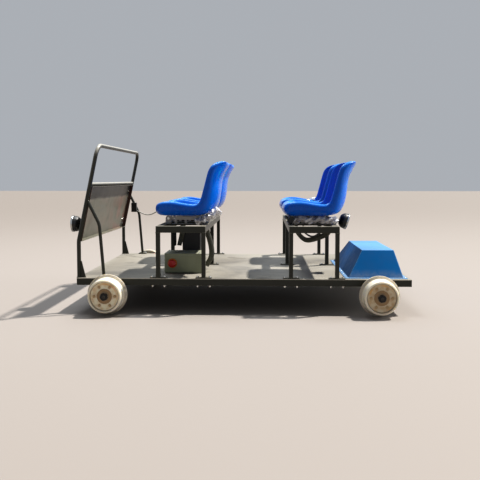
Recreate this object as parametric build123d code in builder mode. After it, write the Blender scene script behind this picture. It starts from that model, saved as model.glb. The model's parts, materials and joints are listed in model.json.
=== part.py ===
from build123d import *
import os
from math import cos, radians, sin, tan

# A battery rail inspection trolley: a low flanged-wheel deck with two rows of
# bucket seats, a leaning handrail with a dash panel, a control box and a motor cover.
# Millimetres. +X points to the rear, +Y away from the side that the photo shows, +Z up.
# The origin is on the surface under the wheels, midway between the two axles.

# Track and wheels
track_gauge = 1435
flange_play = 11            # from the rail's inner face to the flange, at each rail
wheel_base = 1680
flange_radius = 124
tread_radius_inner = 107    # where the tread meets the flange
tread_radius_outer = 103.5
flange_width = 30
flange_rim_width = 12
tread_width = 75
tread_edge = 9              # how far the rounding of the tread's outer edge reaches
wheel_recess_radius = 89
wheel_recess_slope = 3
wheel_recess_depth = 14
hub_radius = 46
hub_length = 96
hub_step = 4                # from the recess's floor out to the hub's face
hub_nut_radius = 22
hub_nut_length = 16
axle_radius = 15
axle_end_length = 12
axle_end_radius = 8
sprocket_teeth = 18
chain_pitch = 12.7
chain_roller_radius = 4.25
sprocket_tip_height = 3.4   # above the pitch circle
sprocket_width = 7
sprocket_hub_radius = 25
sprocket_hub_width = 22
sprocket_y = -120

# Deck frame
deck_length = 2090
deck_side_gap = 26.5        # from the deck's edge to the wheel's back
beam_size = 40
beam_wall = 3
deck_plate_thickness = 4
hanger_thickness = 8
hanger_length = 190
cross_member_count = 5

# Axle bearings
bearing_centre_height = 42
bearing_base_length = 165
bearing_base_height = 14
bearing_ring_radius = 31
bearing_shoulder_length = 88
bearing_width = 38
race_radius = 23
race_width = 46
running_gap = 0.1

# Seat stands
stand_length = 311
stand_height = 327          # from the deck to the top of the rails
stand_tube = 40
stand_leg_size = 25
front_stand_back = 657      # from the deck's front end to the stand's middle
rear_stand_ahead = 601      # from the deck's rear end to the stand's middle
bearer_width = 40
bearer_thickness = 8
foot_length = 100
foot_width = 40
foot_thickness = 6

# Bucket seats
seat_width = 440
seat_depth = 480
seat_height = 336
seat_bottom_height = 398    # from the deck to the shell's lower edge
seat_spacing = 650
seat_lip_overhang = 42      # how far the front lip stands out in front of its stand
seat_side_wall = 15
seat_skin = 8
seat_front_bow = 14          # how far the middle of the lip stands out past its ends
seat_roll_steps = [(9, 14), (7, 35), (5, 58)]    # the rolled edge: reach and lean of each step
seat_corner_radius = 62
seat_top_corner_radius = 60
seat_inner_radius = 42
seat_boss_front = 148       # behind the lip
seat_boss_length = 110
seat_boss_width = 120
seat_boss_drop = 22         # below the shell's lower edge
seat_boss_corner = 12

# Seat slides
slide_spacing = 210
slide_bar_length = 200
slide_bar_height = 22
slide_bar_width = 14
slide_bar_front = 114       # behind the seat's front lip
slide_bar_bottom = 354      # above the deck
slide_post_length = 16
slide_post_reaches = (24, 90, 170)      # behind the bar's front end
slide_post_bite = 4
slide_strip_thickness = 4
carrier_reaches = (50, 176)             # behind the bar's front end
carrier_length = 30
carrier_width = 40
lug_width = 37
lug_thickness = 6
lug_front = 71
lug_rise = 6                # above the bar's top
lug_hole_radius = 7

# Handrail and dash panel
rail_back = 9               # from the deck's front end to the middle of the tube's foot
rail_leg_inset = 25         # from the deck's edge to the tube's middle
rail_tube_radius = 12.5
rail_bend_height = 230
rail_top_height = 833
rail_lean = 12
rail_bend_radius = 110
rail_corner_radius = 72
brace_radius = 10
brace_top_height = 492
brace_knee_height = 338
brace_knee_back = 132       # behind the handrail's foot
brace_foot_back = 158
brace_knee_radius = 120
gusset_height = 105
gusset_depth = 30
gusset_top = 4
gusset_thickness = 6
brace_plate_length = 62
brace_plate_width = 40
cross_tube_radius = 11
cross_tube_up = 366         # along the leaning legs, from the bend
panel_depth = 28
panel_wall = 3

# Lamps
lamp_radius = 53
lamp_depth = 56
lamp_rim_depth = 10
lamp_back_radius = 26
lamp_bowl_bulge = 9
lamp_rim_width = 7
lamp_rim_step = 3
lamp_glass_depth = 5        # from the rim's front to the seat of the glass
lamp_glass_thickness = 2    # at its edge
lamp_glass_dome = 4         # in its middle
lamp_glass_slope = 12
lamp_glass_gap = 0.3
front_lamp_inset = 195      # from the handrail's leg
front_lamp_height = 326
front_lamp_ahead = 42       # from the handrail's foot to the lamp's back
lamp_bracket_width = 34
lamp_bracket_thickness = 8
rear_lamp_back = 196        # from the rear stand's middle to the lamp's back
rear_lamp_y = -300
rear_lamp_height = 352
rear_lamp_tilt = 18
bracket_bite = 8            # how far a lamp bracket reaches into the lamp's back

# Control box, battery and drive
control_box_ahead = 11      # of the front stand's middle
control_box_inset = 208     # from the deck's near edge
control_box_length = 248
control_box_depth = 200
control_box_height = 119    # with its skids
control_box_wall = 2.5
control_box_corner = 6
control_skid_height = 6
control_skid_width = 24
control_skid_inset = 20
control_lid_thickness = 13
control_lid_gap = 0.5
hinge_knuckle_radius = 5
hinge_knuckle_length = 18
hinge_end_length = 10
hinge_end_gap = 0.5
hinge_pin_radius = 2.5
hinge_offset = 6            # from the box's far wall to the hinge pin
hinge_reach = 80
hinge_leaf_height = 16      # below the pin, on the box
hinge_lid_leaf_height = 6
hinge_lid_leaf_rise = 2     # above the pin
stop_button_reach = 71      # from the box's middle towards the front
stop_button_height = 68
stop_stem_radius = 14
stop_head_radius = 24
stop_head_start = 15        # out of the box's face
stop_ring_radius = 31
stop_ring_thickness = 5
battery_back = 18           # behind the front stand's middle
battery_gap = 37            # from the control box's far wall
battery_length = 122
battery_depth = 300
battery_height = 266
battery_lid_height = 26
battery_lid_step = 3
cover_rear_gap = 38         # from the deck's rear end
cover_length = 346
cover_inset = 50            # from the deck's near edge
cover_width = 835
cover_height = 165
cover_front_slope = 102     # how far each side leans in from the foot to the top
cover_rear_slope = 41
cover_near_slope = 115
cover_far_slope = 115
cover_flange = 20
cover_wall = 3
cover_bend_radius = 5
motor_length = 180
motor_width = 320
motor_height = 120

# Switch box, cable and belts
switch_box_size = (42, 30, 76)
switch_box_height = 351
switch_box_corner = 3
switch_box_back = 97        # behind the handrail's foot
gland_radius = 8
gland_length = 14
gland_height = 11           # above the bottom of the switch box
gland_tilt = 25
gland_bite = 4              # how far the gland starts inside the switch box
clip_size = (16, 22, 18)
clip_bite = 3               # how far the clip laps the lug
cable_diameter = 9
cable_end_height = 366
belt_width = 38
belt_thickness = 3
belt_bend_radius = 9
hanging_belt_y = -225
looped_belt_y = -430

# Worked out from the sizes above
axle_z = flange_radius
beam_bottom = axle_z + bearing_centre_height + hanger_thickness
beam_top = beam_bottom + beam_size
deck_top = beam_top + deck_plate_thickness
flange_face_y = track_gauge / 2 - flange_play
wheel_outer_y = flange_face_y + tread_width
wheel_back_y = flange_face_y - flange_width
wheel_total_width = tread_width + flange_width
deck_width = 2 * (wheel_back_y - deck_side_gap)
near_edge_y = -deck_width / 2
beam_y = deck_width / 2 - beam_size / 2
rail_leg_y = deck_width / 2 - rail_leg_inset
stand_top = deck_top + stand_height
front_end_x = -deck_length / 2
rear_end_x = deck_length / 2
front_stand_x = front_end_x + front_stand_back
rear_stand_x = rear_end_x - rear_stand_ahead
stand_xs = {"front": front_stand_x, "rear": rear_stand_x}
rail_x = front_end_x + rail_back
brace_knee_x = rail_x + brace_knee_back
brace_foot_x = rail_x + brace_foot_back
switch_x = rail_x + switch_box_back
front_lamp_back_x = rail_x - front_lamp_ahead
rear_lamp_x = rear_stand_x + rear_lamp_back
control_box_x = front_stand_x - control_box_ahead
stop_button_x = control_box_x - stop_button_reach
battery_x = front_stand_x + battery_back
cover_rear_x = rear_end_x - cover_rear_gap
cover_front_x = cover_rear_x - cover_length
side_ys = {"near": -1, "far": 1}
leg_drop = stand_height - stand_tube - foot_thickness

os.makedirs("parts", exist_ok=True)


def save(builder, name):
    """Labels a finished piece and writes its file."""
    builder.part.label = name
    export_step(builder.part, f"parts/{name}.step")


# Deck frame: two long tubes, two end tubes and the cross members between them
beam_centre_z = beam_bottom + beam_size / 2
beam_bore = beam_size - 2 * beam_wall
with BuildPart() as side_beams:
    with BuildSketch(Plane.YZ.offset(-deck_length / 2)):
        with Locations((-beam_y, beam_centre_z), (beam_y, beam_centre_z)):
            Rectangle(beam_size, beam_size)
            Rectangle(beam_bore, beam_bore, mode=Mode.SUBTRACT)
    extrude(amount=deck_length)
save(side_beams, "side_beams")

inner_width = deck_width - 2 * beam_size
end_reach = (deck_length - beam_size) / 2
with BuildPart() as end_beams:
    with Locations((-end_reach, 0, beam_centre_z), (end_reach, 0, beam_centre_z)):
        Box(beam_size, inner_width, beam_size)
        Box(beam_bore, inner_width, beam_bore, mode=Mode.SUBTRACT)
save(end_beams, "end_beams")

cross_member_reach = wheel_base / 2
cross_member_step = 2 * cross_member_reach / (cross_member_count - 1)
with BuildPart() as cross_members:
    for index in range(cross_member_count):
        member_x = -cross_member_reach + index * cross_member_step
        with Locations((member_x, 0, beam_centre_z)):
            Box(beam_size, inner_width, beam_size)
            Box(beam_bore, inner_width, beam_bore, mode=Mode.SUBTRACT)
save(cross_members, "cross_members")

with BuildPart() as deck_plate:
    with BuildSketch(Plane.XY.offset(beam_top)):
        Rectangle(deck_length, deck_width)
    extrude(amount=deck_plate_thickness)
save(deck_plate, "deck_plate")

# Axle hangers and pillow bearings, at the four corners
corner_places = [(sx * wheel_base / 2, sy * beam_y) for sx in (-1, 1) for sy in (-1, 1)]
with BuildPart() as axle_hangers:
    with BuildSketch(Plane.XY.offset(beam_bottom - hanger_thickness)):
        with Locations(*corner_places):
            Rectangle(hanger_length, beam_size)
    extrude(amount=hanger_thickness)
save(axle_hangers, "axle_hangers")

with BuildPart() as bearing_form:
    with BuildSketch(Plane.XZ):
        with Locations((0, bearing_centre_height - bearing_base_height / 2)):
            Rectangle(bearing_base_length, bearing_base_height)
        Circle(bearing_ring_radius)
        with BuildLine():
            Polyline(
                (-bearing_ring_radius, 0),
                (-bearing_shoulder_length / 2, bearing_centre_height - bearing_base_height),
                (bearing_shoulder_length / 2, bearing_centre_height - bearing_base_height),
                (bearing_ring_radius, 0),
                close=True,
            )
        make_face()
    extrude(amount=bearing_width / 2, both=True)
    with BuildSketch(Plane.XZ):
        Circle(race_radius)
    extrude(amount=race_width / 2, both=True)
    with BuildSketch(Plane.XZ):
        Circle(axle_radius + running_gap)
    extrude(amount=race_width / 2, both=True, mode=Mode.SUBTRACT)

with BuildPart() as axle_bearings:
    with Locations(*[(corner_x, corner_y, axle_z) for corner_x, corner_y in corner_places]):
        add(bearing_form.part)
save(axle_bearings, "axle_bearings")

# Wheels: the section runs along the axle from the outer face inwards, and is turned round it
flange_tip = wheel_total_width - flange_width + (flange_width - flange_rim_width) / 2
wheel_section = [
    # depth behind the outer face, radius
    (0, wheel_recess_radius + wheel_recess_slope),
    (0, tread_radius_outer - tread_edge),
    (0.3 * tread_edge, tread_radius_outer - 0.3 * tread_edge),
    (tread_edge, tread_radius_outer),
    (tread_width, tread_radius_inner),
    (flange_tip, flange_radius),
    (flange_tip + flange_rim_width, flange_radius),
    (wheel_total_width, flange_radius - (wheel_total_width - flange_tip - flange_rim_width)),
    (wheel_total_width, hub_radius),
    (wheel_recess_depth, hub_radius),
    (wheel_recess_depth, wheel_recess_radius - wheel_recess_slope),
]
with BuildPart() as wheel_form:
    with BuildSketch(Plane.YZ):
        with BuildLine():
            Polyline(*wheel_section, close=True)
        make_face()
    revolve(axis=Axis.Y)

hub_face = wheel_recess_depth - hub_step
for row, axle_x in {"front": -wheel_base / 2, "rear": wheel_base / 2}.items():
    for side, sign in side_ys.items():
        with BuildPart() as wheel:
            with Locations((axle_x, -wheel_outer_y, axle_z)):
                add(wheel_form.part)
            if sign > 0:
                mirror(about=Plane.XZ, mode=Mode.REPLACE)
        save(wheel, f"{row}_wheel_{side}")

    with BuildPart() as hubs:
        for sign in side_ys.values():
            hub_y = sign * (wheel_outer_y - hub_face - hub_length / 2)
            with Locations(Location((axle_x, hub_y, axle_z), (90, 0, 0))):
                Cylinder(hub_radius, hub_length)
                Cylinder(axle_radius, hub_length, mode=Mode.SUBTRACT)
    save(hubs, f"{row}_hubs")

    with BuildPart() as axle:
        with Locations(Location((axle_x, 0, axle_z), (90, 0, 0))):
            Cylinder(axle_radius, 2 * (wheel_outer_y - hub_face))
            Cylinder(axle_end_radius, 2 * (wheel_outer_y - hub_face + hub_nut_length + axle_end_length))
        for sign in side_ys.values():
            nut_y = sign * (wheel_outer_y - hub_face + hub_nut_length / 2)
            with Locations(Location((axle_x, nut_y, axle_z), (90, 0, 0))):
                Cylinder(hub_nut_radius, hub_nut_length)
    save(axle, f"{row}_axle")

# Sprocket: round seats for the chain's rollers, opened outwards so that each tooth narrows to its tip
pitch_radius = chain_pitch / 2 / sin(radians(180 / sprocket_teeth))
sprocket_plane = Plane(origin=(wheel_base / 2, sprocket_y, axle_z), z_dir=(0, -1, 0))
gap_opening = [
    # outwards from the roller's middle, to either side
    (0, -chain_roller_radius),
    (2 * sprocket_tip_height, -1.5 * chain_roller_radius),
    (2 * sprocket_tip_height, 1.5 * chain_roller_radius),
    (0, chain_roller_radius),
]
with BuildPart() as drive_sprocket:
    with BuildSketch(sprocket_plane):
        Circle(pitch_radius + sprocket_tip_height)
        with PolarLocations(pitch_radius, sprocket_teeth):
            Circle(chain_roller_radius, mode=Mode.SUBTRACT)
            Polygon(*gap_opening, align=None, mode=Mode.SUBTRACT)
    extrude(amount=sprocket_width / 2, both=True)
    with BuildSketch(sprocket_plane):
        Circle(sprocket_hub_radius)
    extrude(amount=sprocket_hub_width / 2, both=True)
    with BuildSketch(sprocket_plane):
        Circle(axle_radius)
    extrude(amount=sprocket_hub_width / 2, both=True, mode=Mode.SUBTRACT)
save(drive_sprocket, "drive_sprocket")

# Seat stands: a frame of square tube with mitred corners, a middle bar and flat bearers, on legs with feet
leg_reach_x = (stand_length - stand_leg_size) / 2
leg_rows_y = (-(deck_width - stand_leg_size) / 2, 0, (deck_width - stand_leg_size) / 2)
bearer_rows_y = [s * seat_spacing / 2 + t * slide_spacing / 2 for s in (-1, 1) for t in (-1, 1)]
bar_length = stand_length - 2 * stand_tube
stand_bottom = stand_top - stand_tube
with BuildPart() as stand_rails:
    for wall, mode in ((0, Mode.ADD), (beam_wall, Mode.SUBTRACT)):
        outer_end = deck_width / 2 - wall
        inner_end = deck_width / 2 - stand_tube + wall
        with BuildSketch(Plane.XY.offset(stand_bottom + wall)):
            for stand_x in stand_xs.values():
                for sign in (-1, 1):
                    outer_x = stand_x + sign * (stand_length / 2 - wall)
                    inner_x = stand_x + sign * (stand_length / 2 - stand_tube + wall)
                    with BuildLine():
                        Polyline(
                            (outer_x, -outer_end), (outer_x, outer_end),
                            (inner_x, inner_end), (inner_x, -inner_end),
                            close=True,
                        )
                    make_face()
        extrude(amount=stand_tube - 2 * wall, mode=mode)
save(stand_rails, "stand_rails")

with BuildPart() as stand_crossbars:
    for wall, mode in ((0, Mode.ADD), (beam_wall, Mode.SUBTRACT)):
        with BuildSketch(Plane.XY.offset(stand_bottom + wall)):
            for stand_x in stand_xs.values():
                outer_reach = stand_length / 2 - wall
                inner_reach = stand_length / 2 - stand_tube + wall
                for sign in (-1, 1):
                    outer_y = sign * (deck_width / 2 - wall)
                    inner_y = sign * (deck_width / 2 - stand_tube + wall)
                    with BuildLine():
                        Polyline(
                            (stand_x - outer_reach, outer_y), (stand_x + outer_reach, outer_y),
                            (stand_x + inner_reach, inner_y), (stand_x - inner_reach, inner_y),
                            close=True,
                        )
                    make_face()
                with Locations((stand_x, 0)):
                    Rectangle(bar_length, stand_tube - 2 * wall)
        extrude(amount=stand_tube - 2 * wall, mode=mode)
    with BuildSketch(Plane.XY.offset(stand_top - bearer_thickness)):
        with Locations(*[(stand_x, bearer_y) for stand_x in stand_xs.values() for bearer_y in bearer_rows_y]):
            Rectangle(bar_length, bearer_width)
    extrude(amount=bearer_thickness)
save(stand_crossbars, "stand_crossbars")

leg_xs = [stand_x + sign * leg_reach_x for stand_x in stand_xs.values() for sign in (-1, 1)]
with BuildPart() as stand_legs:
    with BuildSketch(Plane.XY.offset(deck_top + foot_thickness)):
        with Locations(*[(leg_x, leg_y) for leg_x in leg_xs for leg_y in leg_rows_y]):
            Rectangle(stand_leg_size, stand_leg_size)
    extrude(amount=leg_drop)
save(stand_legs, "stand_legs")

foot_rows_y = (-(deck_width - foot_width) / 2, 0, (deck_width - foot_width) / 2)
with BuildPart() as stand_feet:
    with BuildSketch(Plane.XY.offset(deck_top)):
        with Locations(*[(leg_x, foot_y) for leg_x in leg_xs for foot_y in foot_rows_y]):
            Rectangle(foot_length, foot_width)
    extrude(amount=foot_thickness)
save(stand_feet, "stand_feet")

# Bucket seat: one moulded form, in its own frame with the front lip at X 0 and the shell's lower edge at Z 0.
# The outlines are drawn for a seat of the two sizes below, and stretched from those to the named ones.
drawn_seat_depth = 480
drawn_seat_height = 336
drawn_pan_height = 33
depth_stretch = seat_depth / drawn_seat_depth
height_stretch = seat_height / drawn_seat_height
corner_stretch = min(depth_stretch, height_stretch)
seat_side_outline = [
    # behind the lip, above the lower edge, corner radius: the nose, the rim, the wing, the tip, the back
    (0, 44, 26), (14, 79, 24), (125, 80, 300), (245, 61, 150), (304, 63, 40), (334, 165, 200), (372, 298, 60),
    (424, 336, 40), (462, 336, 12), (480, 316, 12), (440, 256, 150), (424, 190, 200), (420, 120, 150),
    (398, 40, 90), (366, 0, 40), (48, 0, 46),
]
seat_hollow_outline = [
    # what a sitter touches: the nose, the pan, the back and its tip, then round above the seat
    (-40, 86, 4), (36, 86, 60), (140, drawn_pan_height, 110), (376, drawn_pan_height, 75), (405, 120, 150),
    (411, 195, 200), (428, 262, 150), (474, 343, 4), (474, 400, 4), (-40, 400, 4),
]
seat_underside_outline = [
    # the space under the pan, open below
    (9, -20, 4), (9, 46, 18), (24, 62, 14), (136, drawn_pan_height - seat_skin, 60),
    (346, drawn_pan_height - seat_skin, 14), (354, -20, 4),
]
seat_pan_underside = (drawn_pan_height - seat_skin) * height_stretch


def seat_outline(table):
    """The closed line of an outline's table, stretched to the named depth and height of the seat."""
    return FilletPolyline(
        *[(x * depth_stretch, z * height_stretch) for x, z, corner in table],
        radius=[corner * corner_stretch for x, z, corner in table],
        close=True,
    )


def seat_plan(side_inset, end_inset, corner):
    """The seat from above, its sides and ends drawn in: a bowed lip, straight sides and a straight back."""
    lip, back, side = end_inset, seat_depth - end_inset, seat_width / 2 - side_inset
    lip_end = lip + seat_front_bow
    with BuildSketch() as plan:
        with BuildLine():
            ThreePointArc((lip_end, -side), (lip, 0), (lip_end, side))
            Polyline((lip_end, side), (back, side), (back, -side), (lip_end, -side))
        make_face()
        fillet(plan.vertices(), corner)
    return plan.sketch


with BuildPart() as seat_form:
    with BuildSketch(Plane.XZ):
        with BuildLine():
            seat_outline(seat_side_outline)
        make_face()
    extrude(amount=seat_width / 2 - sum(reach for reach, roll in seat_roll_steps), both=True)
    for reach, roll in seat_roll_steps:
        for end_index in (0, -1):
            seat_end = seat_form.faces().filter_by(Axis.Y).sort_by(Axis.Y)[end_index]
            extrude(seat_end, amount=reach, taper=roll)
    extrude(seat_plan(0, 0, seat_corner_radius), amount=seat_height, mode=Mode.INTERSECT)
    with BuildSketch(Plane.YZ):
        RectangleRounded(seat_width, 2 * seat_height, seat_top_corner_radius)
    extrude(amount=seat_depth, mode=Mode.INTERSECT)

with BuildPart() as seat_hollow:
    with BuildSketch(Plane.XZ):
        with BuildLine():
            seat_outline(seat_hollow_outline)
        make_face()
    extrude(amount=seat_width / 2 - seat_side_wall, both=True)
    sides = faces().filter_by(Axis.Y)
    sat_on = sides.edges().filter_by(lambda e: e.center().Z < 0.9 * seat_height and e.center().X > 0)
    fillet(sat_on, seat_inner_radius * corner_stretch)
    with BuildSketch(Plane.YZ.offset(-seat_depth)):
        RectangleRounded(
            seat_width - 2 * seat_side_wall,
            2 * (seat_height - seat_side_wall),
            seat_top_corner_radius - seat_side_wall,
        )
        with Locations((0, seat_height)):
            Rectangle(seat_width - 2 * seat_top_corner_radius, seat_height)
    extrude(amount=3 * seat_depth, mode=Mode.INTERSECT)

with BuildPart() as seat_underside:
    with BuildSketch(Plane.XZ):
        with BuildLine():
            seat_outline(seat_underside_outline)
        make_face()
    extrude(amount=seat_width / 2 - seat_side_wall, both=True)
    extrude(
        seat_plan(seat_side_wall, seat_skin, seat_corner_radius - seat_side_wall),
        amount=seat_height, both=True, mode=Mode.INTERSECT,
    )

boss_height = seat_boss_drop + seat_pan_underside
with BuildPart() as seat_shell:
    add(seat_form.part)
    add(seat_hollow.part, mode=Mode.SUBTRACT)
    add(seat_underside.part, mode=Mode.SUBTRACT)
    with BuildSketch(Plane.XY.offset(-seat_boss_drop)):
        with Locations((seat_boss_front + seat_boss_length / 2, 0)):
            RectangleRounded(seat_boss_length, seat_boss_width, seat_boss_corner)
    extrude(amount=boss_height)

bar_z = deck_top + slide_bar_bottom
bar_top = bar_z + slide_bar_height
carrier_height = deck_top + seat_bottom_height + seat_pan_underside - bar_top
for row, stand_x in stand_xs.items():
    lip_x = stand_x - stand_length / 2 - seat_lip_overhang
    bar_front = lip_x + slide_bar_front
    for side, sign in side_ys.items():
        seat_y = sign * seat_spacing / 2
        with BuildPart() as seat:
            with Locations((lip_x, seat_y, deck_top + seat_bottom_height)):
                add(seat_shell.part)
        save(seat, f"{row}_seat_{side}")

        # Slide: two bars on posts over a flat strip, a rounded lug in front of each, and the shell's feet
        with BuildPart() as slide:
            for bar_sign in (-1, 1):
                bar_y = seat_y + bar_sign * slide_spacing / 2
                with BuildSketch(Plane.XZ.offset(-bar_y - slide_bar_width / 2)):
                    with Locations((bar_front + slide_bar_length / 2, bar_z + slide_bar_height / 2)):
                        SlotOverall(slide_bar_length, slide_bar_height)
                    with Locations((bar_front + slide_bar_length / 2, stand_top + slide_strip_thickness / 2)):
                        Rectangle(slide_bar_length, slide_strip_thickness)
                extrude(amount=slide_bar_width)
                post_height = bar_z + slide_post_bite - stand_top
                post_z = stand_top + post_height / 2
                with Locations(*[(bar_front + reach, bar_y, post_z) for reach in slide_post_reaches]):
                    Box(slide_post_length, slide_bar_width, post_height)
                lug_x = lip_x + lug_front + lug_width / 2
                lug_round_z = bar_top + lug_rise - lug_width / 2
                with BuildSketch(Plane.XZ.offset(-bar_y - lug_thickness / 2)):
                    with Locations((lug_x, (stand_top + lug_round_z) / 2)):
                        Rectangle(lug_width, lug_round_z - stand_top)
                    with Locations((lug_x, lug_round_z)):
                        Circle(lug_width / 2)
                        Circle(lug_hole_radius, mode=Mode.SUBTRACT)
                extrude(amount=lug_thickness)
                carrier_z = bar_top + carrier_height / 2
                with Locations(*[(bar_front + reach, bar_y, carrier_z) for reach in carrier_reaches]):
                    Box(carrier_length, carrier_width, carrier_height)
            if row == "front" and side == "far":
                clip_y = seat_y + slide_spacing / 2
                clip_x = lip_x + lug_front - clip_size[0] / 2 + clip_bite
                with Locations((clip_x, clip_y, deck_top + cable_end_height)):
                    Box(*clip_size)
        save(slide, f"{row}_slide_{side}")

# Handrail: one bent tube from deck to deck, leaning back above its lower bends
rail_rise = rail_top_height - rail_bend_height
rail_top_x = rail_x + rail_rise * tan(radians(rail_lean))
rail_points = [
    (rail_x, -rail_leg_y, deck_top),
    (rail_x, -rail_leg_y, deck_top + rail_bend_height),
    (rail_top_x, -rail_leg_y, deck_top + rail_top_height),
    (rail_top_x, rail_leg_y, deck_top + rail_top_height),
    (rail_x, rail_leg_y, deck_top + rail_bend_height),
    (rail_x, rail_leg_y, deck_top),
]
rail_radii = [rail_bend_radius, rail_corner_radius, rail_corner_radius, rail_bend_radius]
with BuildPart() as handrail_loop:
    with BuildLine():
        FilletPolyline(*rail_points, radius=rail_radii)
    with BuildSketch(Plane(origin=rail_points[0], z_dir=(0, 0, 1))):
        Circle(rail_tube_radius)
    sweep()
save(handrail_loop, "handrail_loop")

with BuildPart() as handrail_braces:
    for sign in side_ys.values():
        brace_top_x = rail_x + (brace_top_height - rail_bend_height) * tan(radians(rail_lean))
        brace_points = [
            (brace_foot_x, sign * rail_leg_y, deck_top + foot_thickness),
            (brace_knee_x, sign * rail_leg_y, deck_top + brace_knee_height),
            (brace_top_x, sign * rail_leg_y, deck_top + brace_top_height),
        ]
        with BuildLine() as brace_path:
            FilletPolyline(*brace_points, radius=brace_knee_radius)
        with BuildSketch(Plane(origin=brace_path.line @ 0, z_dir=brace_path.line % 0)):
            Circle(brace_radius)
        sweep(path=brace_path.line)
    with BuildSketch(Plane.XY.offset(deck_top + foot_thickness)):
        Rectangle(deck_length, deck_width)
    extrude(amount=-beam_size, mode=Mode.SUBTRACT)
    add(handrail_loop.part, mode=Mode.SUBTRACT)
save(handrail_braces, "handrail_braces")

with BuildPart() as handrail_feet:
    for sign in side_ys.values():
        with BuildSketch(Plane.XZ.offset(-sign * rail_leg_y - gusset_thickness / 2)):
            with BuildLine():
                Polyline(
                    (rail_x, deck_top),
                    (rail_x + rail_tube_radius + gusset_depth, deck_top),
                    (rail_x + rail_tube_radius + gusset_top, deck_top + gusset_height),
                    (rail_x, deck_top + gusset_height),
                    close=True,
                )
            make_face()
        extrude(amount=gusset_thickness)
        with Locations((brace_foot_x, sign * (beam_y), deck_top + foot_thickness / 2)):
            Box(brace_plate_length, brace_plate_width, foot_thickness)
    add(handrail_loop.part, mode=Mode.SUBTRACT)
save(handrail_feet, "handrail_feet")

# The plane that the leaning legs lie in, with X across the deck, Y up the lean and Z to the rear
lean = radians(rail_lean)
lean_plane = Plane(
    origin=(rail_x, 0, deck_top + rail_bend_height), x_dir=(0, 1, 0), z_dir=(cos(lean), 0, -sin(lean))
)
panel_half_width = rail_leg_y - rail_tube_radius
panel_height = cross_tube_up - cross_tube_radius
with BuildPart() as dash_panel:
    with BuildSketch(lean_plane.offset(-rail_tube_radius)):
        with Locations((0, panel_height / 2)):
            Rectangle(2 * panel_half_width, panel_height)
    extrude(amount=panel_depth)
    with BuildSketch(lean_plane.offset(-rail_tube_radius + panel_wall)):
        with Locations((0, panel_height / 2)):
            Rectangle(2 * (panel_half_width - panel_wall), panel_height - 2 * panel_wall)
    extrude(amount=panel_depth, mode=Mode.SUBTRACT)
save(dash_panel, "dash_panel")

with BuildPart() as dash_cross_tube:
    tube_x = rail_x + cross_tube_up * sin(lean)
    tube_z = deck_top + rail_bend_height + cross_tube_up * cos(lean)
    with Locations(Location((tube_x, 0, tube_z), (90, 0, 0))):
        Cylinder(cross_tube_radius, 2 * rail_leg_y)
    add(handrail_loop.part, mode=Mode.SUBTRACT)
save(dash_cross_tube, "dash_cross_tube")

# Lamps: a bowl with a rim, in its own frame with its back at the origin and its glass facing +Z
rim_inner_radius = lamp_radius - lamp_rim_width
glass_seat = lamp_depth - lamp_glass_depth
with BuildPart() as lamp_form:
    with BuildSketch(Plane.XZ):
        with BuildLine():
            bowl_start = (lamp_back_radius, 0)
            bowl_end = (lamp_radius - lamp_rim_step, lamp_depth - lamp_rim_depth)
            bowl_middle = (
                (bowl_start[0] + bowl_end[0]) / 2 + lamp_bowl_bulge,
                (bowl_start[1] + bowl_end[1]) / 2 - lamp_bowl_bulge / 2,
            )
            ThreePointArc(bowl_start, bowl_middle, bowl_end)
            Polyline(
                bowl_end, (lamp_radius, lamp_depth - lamp_rim_depth), (lamp_radius, lamp_depth),
                (rim_inner_radius, lamp_depth), (rim_inner_radius, glass_seat), (0, glass_seat), (0, 0),
                bowl_start,
            )
        make_face()
    revolve(axis=Axis.Z)

with BuildPart() as lamp_glass_form:
    with BuildSketch(Plane.XZ):
        with BuildLine():
            glass_radius = rim_inner_radius - lamp_glass_gap
            Polyline(
                (0, glass_seat), (glass_radius, glass_seat), (glass_radius, glass_seat + lamp_glass_thickness),
                (glass_radius - lamp_glass_slope, glass_seat + lamp_glass_dome),
                (0, glass_seat + lamp_glass_dome),
                close=True,
            )
        make_face()
    revolve(axis=Axis.Z)

front_lamp_y = rail_leg_y - front_lamp_inset
lamp_places = [
    Location((front_lamp_back_x, sign * front_lamp_y, deck_top + front_lamp_height), (0, -90, 0))
    for sign in side_ys.values()
]
rear_lamp_place = (rear_lamp_x, rear_lamp_y, deck_top + rear_lamp_height)
lamp_places.append(Location(rear_lamp_place, (0, 90 + rear_lamp_tilt, 0)))
with BuildPart() as lamps:
    with Locations(*lamp_places):
        add(lamp_form.part)
save(lamps, "lamps")

with BuildPart() as lamp_glasses:
    with Locations(*lamp_places):
        add(lamp_glass_form.part)
save(lamp_glasses, "lamp_glasses")

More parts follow.
